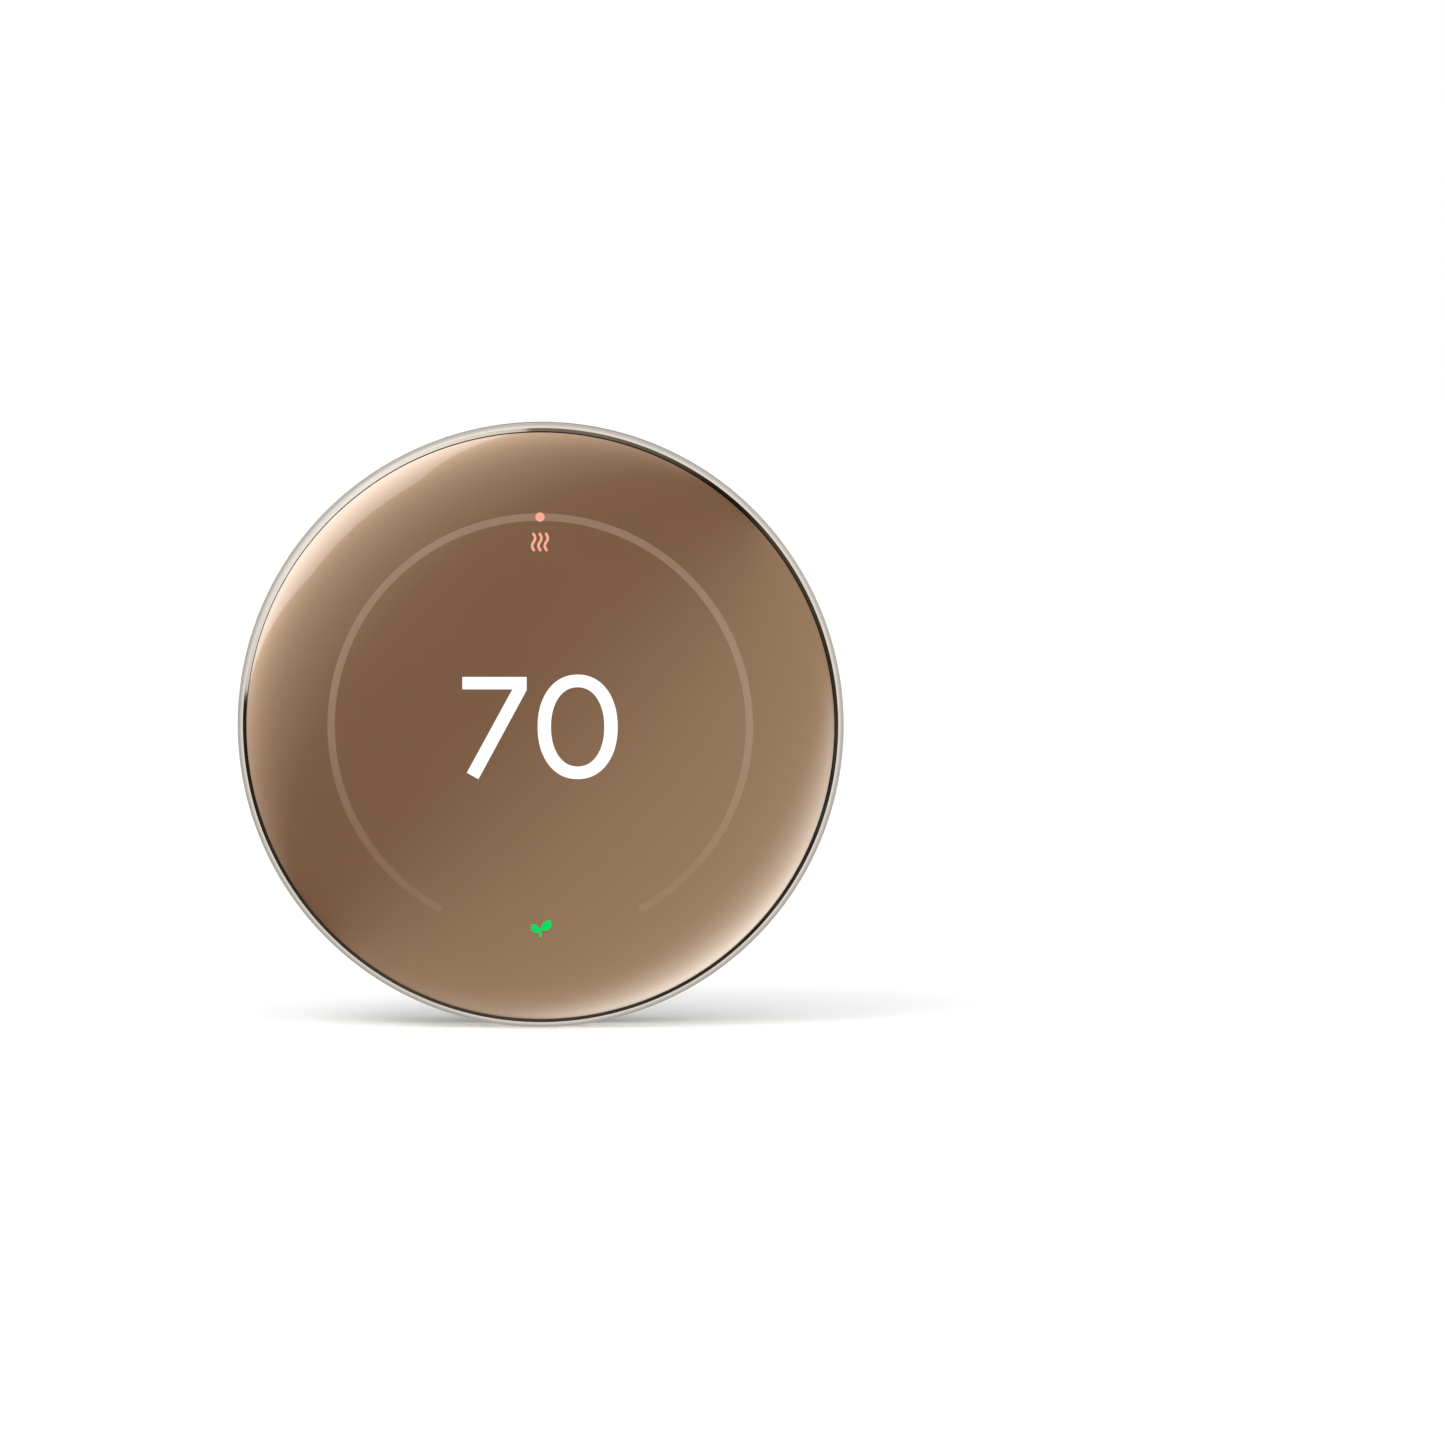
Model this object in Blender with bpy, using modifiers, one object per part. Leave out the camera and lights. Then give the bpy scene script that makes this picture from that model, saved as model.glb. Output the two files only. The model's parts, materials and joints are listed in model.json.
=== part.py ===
"""Round wall thermostat: a domed mirror glass and a turning metal ring on a head that
plugs onto a wall base.

Everything is drawn lying on the bench, back down. Bench Z is the distance out from the
wall, X is right and Y is up as the installed face is seen. The empty "thermostat" stands
the whole assembly upright: bench Z becomes world -Y and bench Y becomes world Z. The
origin is the centre of the back face, where the base meets the wall.
"""

import math

import bmesh
import bpy
from mathutils import Matrix

MM = 0.001

# ---------------------------------------------------------------- driving dimensions
# Fits
GAP = 0.3 * MM  # between pieces that seat on or run beside each other
WINDOW_GAP = 0.4 * MM  # round a piece that stands in a window
SHANK_GAP = 0.3 * MM  # round a screw's shank

# Turning ring and what carries it
RING_DIAMETER = 98.0 * MM
RING_DEPTH = 8.6 * MM
RING_WALL = 1.0 * MM
RING_LIP = 1.5 * MM  # front lip, measured in from the outside
RING_LIP_DEPTH = 1.3 * MM
RING_LAND = 0.9 * MM  # flat front face between the outer edge and the inner bevel
RING_BEVEL_DEPTH = 0.45 * MM
RING_EDGE = 0.25 * MM
RING_TAPER = 0.3 * MM  # how far the wall draws in towards the back
LINER_WALL = 1.2 * MM
LINER_FLANGE = 3.0 * MM
LINER_FLANGE_THICKNESS = 1.2 * MM
LINER_SET_IN = 2.4 * MM  # liner's back edge, forward of the ring's back edge
ENCODER_SLOTS = 24
ENCODER_SLOT_DEPTH = 0.5 * MM
BEARING_WALL = 0.7 * MM

# Face: carrier, display and glass
FACE_TRAVEL = 0.6 * MM
CARRIER_FLOOR = 1.2 * MM
CARRIER_RIM = 1.7 * MM
BOSS_RADIUS = 1.5 * MM
BACKLIGHT_THICKNESS = 1.4 * MM
DISPLAY_THICKNESS = 1.8 * MM
FLEX_THICKNESS = 0.3 * MM
FLEX_WIDTH = 8.0 * MM
FLEX_TAIL = 7.0 * MM
GASKET_THICKNESS = 1.3 * MM
GASKET_WIDTH = 6.4 * MM
RETAINER_THICKNESS = 1.2 * MM
GLASS_SET_IN = 1.55 * MM  # glass edge, in from the outside of the ring
GLASS_EDGE = 0.7 * MM  # height of the ground edge
GLASS_EDGE_BEVEL = 0.35 * MM
DOME_RISE = 4.4 * MM

# Head: can, boards and battery
CAN_WALL = 1.2 * MM
CAN_EDGE = 0.5 * MM
MAIN_BOARD_LIFT = 1.1 * MM
MAIN_BOARD_THICKNESS = 1.0 * MM
BATTERY_LENGTH = 36.0 * MM
BATTERY_WIDTH = 22.0 * MM
BATTERY_THICKNESS = 3.8 * MM
BATTERY_CORNER = 2.0 * MM
SHOULDER_POST_RADIUS = 2.4 * MM
SHOULDER_POST_HEIGHT = 1.8 * MM
POST_SUNK = 0.2 * MM  # how far a post runs into the can's wall
SHOULDER_RADIUS = 1.0 * MM
SHOULDER_HEAD_RADIUS = 1.8 * MM
SHOULDER_HEAD_HEIGHT = 0.8 * MM
SPRING_WIRE = 0.44 * MM
SPRING_TURNS = 3.25
GRIP_POST_RADIUS = 1.4 * MM
GRIP_POST_LENGTH = 5.0 * MM
VENT_COUNT = 7
VENT_WIDTH = 1.2 * MM
VENT_HEIGHT = 2.4 * MM
VENT_PITCH = 4.0  # degrees
VENT_ANGLE = 240  # degrees, low on the left, over the climate sensor

# Components of the main board
BOARD_PARTS_HEIGHT = 1.7 * MM  # room over the board for the tallest one
BOARD_SCREW_INSET = 3.0 * MM  # in from the board's edge
BOARD_BOSS_RADIUS = 1.9 * MM
USB_LENGTH = 9.0 * MM
USB_WIDTH = 3.2 * MM
USB_SHEET = 0.35 * MM
USB_TONGUE_LENGTH = 6.6 * MM
USB_TONGUE_THICKNESS = 0.7 * MM
SHIELD_LENGTH = 14.0 * MM
SHIELD_WIDTH = 9.0 * MM
SHIELD_HEIGHT = 1.5 * MM
SHIELD_SHEET = 0.3 * MM
SOUNDER_RADIUS = 4.5 * MM
SOUNDER_HEIGHT = 1.6 * MM
SOUNDER_HOLE = 0.8 * MM
RADAR_SIZE = (6.5 * MM, 5.0 * MM, 1.2 * MM)
CLIMATE_SENSOR = 2.6 * MM  # both sides
CLIMATE_SENSOR_HEIGHT = 1.0 * MM
SWITCH_SIDE = 4.6 * MM
PLUNGER_RADIUS = 1.3 * MM
PLUNGER_LENGTH = 1.6 * MM
PLUNGER_OUT = 1.3 * MM  # how far it stands out of the switch
COMPONENT_BEVEL = 0.15 * MM
LIGHT_SENSOR_SIZE = (3.2 * MM, 2.2 * MM, 1.2 * MM)
ENCODER_SENSOR_WIDTH = 4.0 * MM

# Base: wall plate, terminals and deck
PLATE_FLOOR = 1.8 * MM
PLATE_RIM = 1.6 * MM
PLATE_EDGE = 0.5 * MM
CABLE_OPENING_RADIUS = 13.0 * MM
BASE_STEP = 0.6 * MM  # how far the base is smaller than the can, all round
BASE_BOARD_LIFT = 1.0 * MM
BASE_BOARD_THICKNESS = 1.2 * MM
TERMINALS_PER_SIDE = 5
TERMINAL_INNER = 4.5 * MM  # from the edge of the cable opening
TERMINAL_LENGTH = 9.5 * MM
TERMINAL_SPAN = 76.0  # degrees
PORT_RADIUS = 1.0 * MM
PORT_WALL = 0.5 * MM
PORT_DEPTH = 7.5 * MM
TAB_SPAN = 11.0  # degrees
TAB_LENGTH = 5.8 * MM
TAB_THICKNESS = 1.1 * MM
TAB_TRAVEL = 1.2 * MM
TAB_PROUD = 0.6 * MM
DECK_THICKNESS = 1.6 * MM
HEAD_GAP = 0.4 * MM
SLOT_LENGTH = 8.5 * MM
SLOT_WIDTH = 4.4 * MM
TOWER_WALL = 2.0 * MM
TOWER_TOP = 5.0 * MM
WALL_SCREW_INSET = 6.4 * MM  # in from the rim's inner face
DECK_BOSS_RADIUS = 2.8 * MM
FIXING_INSET = 5.0 * MM  # deck screws and grip clips, in from the rim's inner face
VIAL_RADIUS = 2.5 * MM
VIAL_WALL = 0.9 * MM
VIAL_LENGTH = 16.0 * MM
VIAL_CAP = 0.8 * MM
SOCKET_LENGTH = 14.0 * MM
SOCKET_WIDTH = 5.0 * MM
PLUG_LENGTH = 11.0 * MM
PLUG_WIDTH = 1.4 * MM
PLUG_REACH = 3.4 * MM  # how far the plug goes into the socket
CLIP_WALL = 0.8 * MM

# Small screws
SCREW_RADIUS = 0.7 * MM
SCREW_HEAD_RADIUS = 1.5 * MM
SCREW_HEAD_HEIGHT = 0.7 * MM
DECK_SCREW_HEAD_RADIUS = 1.9 * MM

# Roundness, in steps to a full turn
OUTSIDE = 64
FINE = 48
MEDIUM = 24
COARSE = 12

# ---------------------------------------------------------------- derived radii
ring_outer = RING_DIAMETER / 2
ring_inner = ring_outer - RING_WALL
lip_inner = ring_outer - RING_LIP
liner_outer = ring_inner - GAP
liner_inner = liner_outer - LINER_WALL
bearing_outer = liner_inner - GAP
bearing_inner = bearing_outer - BEARING_WALL
carrier_outer = bearing_inner - GAP
liner_flange_inner = liner_outer - LINER_FLANGE
boss_circle = liner_flange_inner - GAP - BOSS_RADIUS
retainer_inner = boss_circle - BOSS_RADIUS - 0.1 * MM
can_outer = retainer_inner - WINDOW_GAP
can_inner = can_outer - CAN_WALL
shoulder_circle = can_inner - SHOULDER_POST_RADIUS + POST_SUNK
display_outer = shoulder_circle - SHOULDER_HEAD_RADIUS - WINDOW_GAP
glass_outer = ring_outer - GLASS_SET_IN
main_board_outer = can_inner - 2 * GAP
base_outer = can_outer - BASE_STEP
rim_inner = base_outer - PLATE_RIM
base_board_outer = rim_inner - 2 * GAP
wall_screw_circle = rim_inner - WALL_SCREW_INSET
fixing_circle = rim_inner - FIXING_INSET
terminal_inner = CABLE_OPENING_RADIUS + TERMINAL_INNER
terminal_outer = terminal_inner + TERMINAL_LENGTH

# ---------------------------------------------------------------- derived heights
base_board_back = PLATE_FLOOR + BASE_BOARD_LIFT
base_board_front = base_board_back + BASE_BOARD_THICKNESS
terminal_back = base_board_front + GAP
port_height = terminal_back + PORT_WALL + PORT_RADIUS
pocket_floor = port_height + PORT_RADIUS + PORT_WALL
tab_back = pocket_floor + GAP + TAB_TRAVEL
deck_front = tab_back + TAB_THICKNESS
terminal_front = deck_front - TAB_PROUD
deck_back = deck_front - DECK_THICKNESS
rim_front = deck_back - GAP
can_back = deck_front + HEAD_GAP
can_floor = can_back + CAN_WALL
battery_back = can_floor + GAP
main_board_back = can_floor + MAIN_BOARD_LIFT
main_board_front = main_board_back + MAIN_BOARD_THICKNESS
on_board = main_board_front + GAP
head_parts_front = max(battery_back + BATTERY_THICKNESS, on_board + BOARD_PARTS_HEIGHT)
carrier_back = head_parts_front + GAP + FACE_TRAVEL + FLEX_THICKNESS + GAP
carrier_front = carrier_back + CARRIER_FLOOR
can_front = carrier_back - FACE_TRAVEL - GAP
backlight_back = carrier_front + GAP
display_back = backlight_back + BACKLIGHT_THICKNESS + GAP
glass_back = display_back + DISPLAY_THICKNESS + GAP
gasket_back = glass_back - GAP - GASKET_THICKNESS
carrier_rim_front = gasket_back - GAP
dome_back = glass_back + GLASS_EDGE
ring_front = glass_back - GAP
ring_back = ring_front - RING_DEPTH
liner_back = ring_back + LINER_SET_IN
flange_front = liner_back + LINER_FLANGE_THICKNESS
carrier_flange_back = flange_front + GAP
retainer_front = liner_back - WINDOW_GAP
retainer_back = retainer_front - RETAINER_THICKNESS
boss_root = max(carrier_back, carrier_flange_back) + CARRIER_FLOOR / 3
boss_hole_end = boss_root - 0.2 * MM
socket_front = deck_front - GAP

# Angles, counter-clockwise from +X on the installed face
GRIP_ANGLES = (52, 232)
DECK_SCREW_ANGLES = (128, 308)
SHOULDER_ANGLES = (30, 150, 270)
RETAINER_ANGLES = (90, 210, 330)
BOARD_SCREW_ANGLES = (90, 215)

# Places that follow what they stand beside
level_place = (0, CABLE_OPENING_RADIUS + 1.1 * MM + VIAL_RADIUS)
socket_place = (0, -(CABLE_OPENING_RADIUS + 1.0 * MM + SOCKET_WIDTH / 2))
beside_battery = BATTERY_LENGTH / 2 + 1.0 * MM
above_battery = BATTERY_WIDTH / 2 + 1.0 * MM


# ---------------------------------------------------------------- scene and materials
def clear_scene():
    for obj in list(bpy.data.objects):
        bpy.data.objects.remove(obj)


def finish(name, colour, roughness, metallic=0.0, alpha=1.0):
    """A Principled material; colour is linear RGB."""
    made = bpy.data.materials.new(name)
    made.use_nodes = True
    shader = made.node_tree.nodes["Principled BSDF"]
    shader.inputs["Base Color"].default_value = (*colour, 1)
    shader.inputs["Roughness"].default_value = roughness
    shader.inputs["Metallic"].default_value = metallic
    shader.inputs["Alpha"].default_value = alpha
    made.diffuse_color = (*colour, alpha)
    return made


clear_scene()
FINISHES = {
    "ring_metal": finish("ring_metal", (0.78, 0.70, 0.60), 0.16, 1.0),
    "mirror_glass": finish("mirror_glass", (0.24, 0.13, 0.075), 0.08, 0.85),
    "shell_plastic": finish("shell_plastic", (0.045, 0.042, 0.040), 0.45),
    "base_plastic": finish("base_plastic", (0.72, 0.70, 0.66), 0.50),
    "terminal_plastic": finish("terminal_plastic", (0.40, 0.40, 0.39), 0.45),
    "tab_plastic": finish("tab_plastic", (0.80, 0.80, 0.78), 0.40),
    "liner_plastic": finish("liner_plastic", (0.03, 0.03, 0.03), 0.50),
    "bearing_plastic": finish("bearing_plastic", (0.75, 0.73, 0.68), 0.35),
    "board": finish("board", (0.01, 0.10, 0.05), 0.45),
    "chip": finish("chip", (0.02, 0.02, 0.022), 0.40),
    "steel": finish("steel", (0.55, 0.54, 0.52), 0.30, 1.0),
    "tin_plate": finish("tin_plate", (0.62, 0.62, 0.60), 0.35, 1.0),
    "cell_wrap": finish("cell_wrap", (0.10, 0.11, 0.13), 0.40),
    "screen": finish("screen", (0.01, 0.01, 0.012), 0.20),
    "diffuser": finish("diffuser", (0.85, 0.85, 0.84), 0.50),
    "flex": finish("flex", (0.45, 0.20, 0.03), 0.40),
    "foam": finish("foam", (0.02, 0.02, 0.02), 0.90),
    "clear": finish("clear", (0.75, 0.85, 0.45), 0.08, alpha=0.45),
    "bubble": finish("bubble", (0.92, 0.96, 0.80), 0.05, alpha=0.60),
}

PARTS = bpy.data.collections.new("wall_thermostat")
CUTTERS = bpy.data.collections.new("cutters")
bpy.context.scene.collection.children.link(PARTS)
bpy.context.scene.collection.children.link(CUTTERS)


def empty(name, parent=None):
    made = bpy.data.objects.new(name, None)
    made.empty_display_size = 10 * MM
    made.parent = parent
    PARTS.objects.link(made)
    return made


ASSEMBLY = empty("thermostat")
ASSEMBLY.rotation_euler = (math.radians(90), 0, 0)
BASE = empty("base_axis", ASSEMBLY)
HEAD = empty("head_axis", ASSEMBLY)
FACE = empty("face_axis", HEAD)
RING = empty("ring_axis", FACE)


# ---------------------------------------------------------------- making pieces
def place(name, mesh, finish_name, parent, location=(0, 0, 0), turn=(0, 0, 0)):
    """Link a mesh as a piece, or as a cutter when it has no finish."""
    made = bpy.data.objects.new(name, mesh)
    made.parent = parent
    made.location = location
    made.rotation_euler = turn
    if finish_name is None:
        made.hide_render = True
        made.display_type = "WIRE"
        CUTTERS.objects.link(made)
        return made
    if not mesh.materials:
        mesh.materials.append(FINISHES[finish_name])
    PARTS.objects.link(made)
    return made


def turned(name, profile, finish_name, parent, steps=FINE, location=(0, 0, 0), turn=(0, 0, 0)):
    """Turn (radius, height) points about Z. They run down the outer side.

    A profile that starts and ends on the axis makes a solid; any other is closed into a
    ring.
    """
    solid = profile[0][0] == 0 and profile[-1][0] == 0
    last = len(profile) - 1
    edges = [(i, i + 1) for i in range(last)]
    if not solid:
        edges.append((last, 0))
    mesh = bpy.data.meshes.new(name)
    mesh.from_pydata([(r, 0, z) for r, z in profile], edges, [])
    made = place(name, mesh, finish_name, parent, location, turn)
    screw = made.modifiers.new("Turn", "SCREW")
    screw.axis = "Z"
    screw.angle = 2 * math.pi
    screw.steps = steps
    screw.render_steps = steps
    screw.use_merge_vertices = True
    screw.merge_threshold = 1e-7
    screw.use_smooth_shade = True
    return made


def slab(name, outlines, back, front, finish_name, parent, location=(0, 0), turn=0.0):
    """A flat plate between two heights. Outlines inside the first one are holes."""
    curve = bpy.data.curves.new(name, "CURVE")
    curve.dimensions = "2D"
    curve.fill_mode = "BOTH"
    curve.extrude = (front - back) / 2
    for outline in outlines:
        spline = curve.splines.new("POLY")
        spline.points.add(len(outline) - 1)
        for point, (x, y) in zip(spline.points, outline):
            point.co = (x, y, 0, 1)
        spline.use_cyclic_u = True
    drawn = bpy.data.objects.new(name, curve)
    CUTTERS.objects.link(drawn)
    bpy.context.view_layer.update()
    graph = bpy.context.evaluated_depsgraph_get()
    mesh = bpy.data.meshes.new_from_object(drawn.evaluated_get(graph))
    bpy.data.objects.remove(drawn)
    welded = bmesh.new()
    welded.from_mesh(mesh)
    bmesh.ops.remove_doubles(welded, verts=welded.verts, dist=1e-7)
    bmesh.ops.recalc_face_normals(welded, faces=welded.faces)
    welded.to_mesh(mesh)
    welded.free()
    mesh.name = name
    height = (back + front) / 2
    return place(name, mesh, finish_name, parent, (*location, height), (0, 0, turn))


def block(name, size, centre, finish_name, parent, bevel=0.0, turn=0.0):
    """A box of (x, y, z) size about its centre, with its edges eased by bevel."""
    mesh = bpy.data.meshes.new(name)
    cube = bmesh.new()
    bmesh.ops.create_cube(cube, size=1.0)
    bmesh.ops.scale(cube, vec=size, verts=cube.verts)
    cube.to_mesh(mesh)
    cube.free()
    made = place(name, mesh, finish_name, parent, centre, (0, 0, turn))
    if bevel:
        eased = made.modifiers.new("Eased edges", "BEVEL")
        eased.width = bevel
        eased.segments = 1
        eased.limit_method = "ANGLE"
    return made


def standing(name, length, width, back, front, centre, finish_name, parent, bevel=0.0, turn=0.0):
    """A block that stands between two heights."""
    size = (length, width, front - back)
    middle = (*centre, (back + front) / 2)
    return block(name, size, middle, finish_name, parent, bevel, turn)


def rod(name, radius, back, front, centre, finish_name, parent, segments=COARSE):
    """An upright cylinder between two heights, with a flat towards +X and not an edge."""
    mesh = bpy.data.meshes.new(name)
    cylinder = bmesh.new()
    half_step = Matrix.Rotation(math.pi / segments, 4, "Z")
    bmesh.ops.create_cone(
        cylinder,
        cap_ends=True,
        segments=segments,
        radius1=radius,
        radius2=radius,
        depth=front - back,
        matrix=half_step,
    )
    cylinder.to_mesh(mesh)
    cylinder.free()
    return place(name, mesh, finish_name, parent, (*centre, (back + front) / 2))


def cut(piece, cutter):
    change(piece, cutter, "DIFFERENCE")


def join(piece, addition):
    change(piece, addition, "UNION")


def change(piece, other, operation):
    boolean = piece.modifiers.new(other.name, "BOOLEAN")
    boolean.operation = operation
    boolean.object = other


# ---------------------------------------------------------------- outlines
def polar(radius, angle):
    """The point at this radius and angle in degrees."""
    turn = math.radians(angle)
    return (radius * math.cos(turn), radius * math.sin(turn))


def circle(radius, centre=(0, 0), count=FINE):
    ring = [polar(radius, 360 * i / count) for i in range(count)]
    return [(x + centre[0], y + centre[1]) for x, y in ring]


def sector(inner, outer, start, end, step=4.0):
    """A slice of a washer between two angles in degrees."""
    count = max(2, math.ceil((end - start) / step))
    angles = [start + (end - start) * i / count for i in range(count + 1)]
    return [polar(outer, a) for a in angles] + [polar(inner, a) for a in reversed(angles)]


def rounded(length, width, radius, centre=(0, 0), count=5):
    """A rectangle with round corners, or a slot with round ends."""
    corners = (
        (length / 2 - radius, width / 2 - radius, 0),
        (-length / 2 + radius, width / 2 - radius, 90),
        (-length / 2 + radius, -width / 2 + radius, 180),
        (length / 2 - radius, -width / 2 + radius, 270),
    )
    points = []
    for x, y, start in corners:
        for i in range(count + 1):
            dx, dy = polar(radius, start + 90 * i / count)
            point = (round(x + dx + centre[0], 9), round(y + dy + centre[1], 9))
            if not points or point != points[-1]:
                points.append(point)
    return points


def slot(length, width, centre=(0, 0)):
    return rounded(length, width, width / 2, centre)


# ---------------------------------------------------------------- screws
def screw_profile(head_radius, head_height, radius, length):
    """A pan head above height 0 and a pointed shank below it."""
    return [
        (0, head_height),
        (head_radius * 0.75, head_height),
        (head_radius, head_height * 0.6),
        (head_radius, 0),
        (radius, 0),
        (radius, -length + radius),
        (radius * 0.4, -length),
        (0, -length),
    ]


def screw(name, head_radius, head_height, radius, length, location, parent, turn=(0, 0, 0)):
    """A screw with a cross recess, its seat at the location and its head towards +Z."""
    profile = screw_profile(head_radius, head_height, radius, length)
    made = turned(name, profile, "steel", parent, COARSE, location, turn)
    arm = head_radius * 1.2
    recess = (arm, head_radius * 0.28, head_height)
    for i, angle in enumerate((0, 90)):
        cutter = block(f"{name}_recess_{i}", recess, location, None, parent)
        cutter.rotation_euler = (turn[0], turn[1], math.radians(angle))
        lift = head_height * (-1 if turn[0] else 1)
        cutter.location = (location[0], location[1], location[2] + lift)
        cut(made, cutter)
    return made


# ---------------------------------------------------------------- base
def wall_plate():
    """The tray that is screwed to the wall: floor, rim, two slotted towers, two bosses."""
    plate = turned(
        "wall_plate",
        [
            (base_outer, rim_front),
            (base_outer, PLATE_EDGE),
            (base_outer - PLATE_EDGE, 0),
            (CABLE_OPENING_RADIUS, 0),
            (CABLE_OPENING_RADIUS, PLATE_FLOOR),
            (rim_inner, PLATE_FLOOR),
            (rim_inner, rim_front),
        ],
        "base_plastic",
        BASE,
    )
    inside_floor = PLATE_FLOOR / 2
    for i, side in enumerate((1, -1)):
        centre = (0, side * wall_screw_circle)
        body = slot(SLOT_LENGTH + 2 * TOWER_WALL, SLOT_WIDTH + 2 * TOWER_WALL)
        tower = slab(f"tower_{i}", [body], inside_floor, TOWER_TOP, None, BASE, centre)
        join(plate, tower)
    for i, angle in enumerate(DECK_SCREW_ANGLES):
        centre = polar(fixing_circle, angle)
        boss = rod(f"deck_boss_{i}", DECK_BOSS_RADIUS, inside_floor, rim_front, centre, None, BASE)
        join(plate, boss)
    for i, side in enumerate((1, -1)):
        centre = (0, side * wall_screw_circle)
        opening = slot(SLOT_LENGTH, SLOT_WIDTH)
        cutter = slab(f"wall_slot_{i}", [opening], -MM, TOWER_TOP + MM, None, BASE, centre)
        cut(plate, cutter)
    for i, angle in enumerate(DECK_SCREW_ANGLES):
        centre = polar(fixing_circle, angle)
        hole = SCREW_RADIUS + SHANK_GAP
        cutter = rod(f"deck_boss_hole_{i}", hole, PLATE_FLOOR + MM, rim_front + MM, centre, None, BASE)
        cut(plate, cutter)


def base_board():
    """The circuit board that joins the terminals to the socket."""
    holes = [circle(terminal_inner - GAP, count=MEDIUM)]
    for side in (1, -1):
        centre = (0, side * wall_screw_circle)
        length = SLOT_LENGTH + 2 * (TOWER_WALL + WINDOW_GAP)
        width = SLOT_WIDTH + 2 * (TOWER_WALL + WINDOW_GAP)
        holes.append(slot(length, width, centre))
    for angle in DECK_SCREW_ANGLES:
        centre = polar(fixing_circle, angle)
        holes.append(circle(DECK_BOSS_RADIUS + WINDOW_GAP, centre, COARSE))
    outlines = [circle(base_board_outer), *holes]
    slab("base_board", outlines, base_board_back, base_board_front, "board", BASE)


def terminal_angles(middle):
    """The middle angle of each terminal on one side."""
    pitch = TERMINAL_SPAN / TERMINALS_PER_SIDE
    first = middle - TERMINAL_SPAN / 2 + pitch / 2
    return [first + pitch * i for i in range(TERMINALS_PER_SIDE)]


def terminal_block(name, middle):
    """An arc of push-in terminals: a wire port towards the opening and a tab pocket each."""
    start = middle - TERMINAL_SPAN / 2
    end = middle + TERMINAL_SPAN / 2
    outline = sector(terminal_inner, terminal_outer, start, end)
    body = slab(name, [outline], terminal_back, terminal_front, "terminal_plastic", BASE)
    inner, outer = tab_radii()
    spare = math.degrees(GAP / inner)
    for i, angle in enumerate(terminal_angles(middle)):
        half = TAB_SPAN / 2 + spare
        pocket = sector(inner - GAP, outer + GAP, angle - half, angle + half)
        cutter = slab(f"{name}_pocket_{i}", [pocket], pocket_floor, deck_front + MM, None, BASE)
        cut(body, cutter)
        reach = PORT_DEPTH + MM
        port = rod(f"{name}_port_{i}", PORT_RADIUS, -reach / 2, reach / 2, (0, 0), None, BASE, 8)
        x, y = polar(terminal_inner + (PORT_DEPTH - MM) / 2, angle)
        port.location = (x, y, port_height)
        port.rotation_euler = (0, math.radians(90), math.radians(angle))
        cut(body, port)


def tab_radii():
    """Inner and outer radius of the release tabs, which lie towards the outside."""
    outer = terminal_outer - 0.9 * MM
    return outer - TAB_LENGTH, outer


def release_tabs():
    """The tabs that are pushed towards the wall to let a wire go."""
    inner, outer = tab_radii()
    middle = (inner + outer) / 2
    outline = sector(inner, outer, -TAB_SPAN / 2, TAB_SPAN / 2, 3.0)
    shape = [(x - middle, y) for x, y in outline]
    mesh = None
    number = 0
    for side in (180, 0):
        for angle in terminal_angles(side):
            number += 1
            name = f"release_tab_{number:02d}"
            if mesh is None:
                tab = slab(name, [shape], tab_back, deck_front, "tab_plastic", BASE)
                mesh = tab.data
            else:
                tab = place(name, mesh, "tab_plastic", BASE)
            tab.location = (*polar(middle, angle), (tab_back + deck_front) / 2)
            tab.rotation_euler = (0, 0, math.radians(angle))


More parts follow.
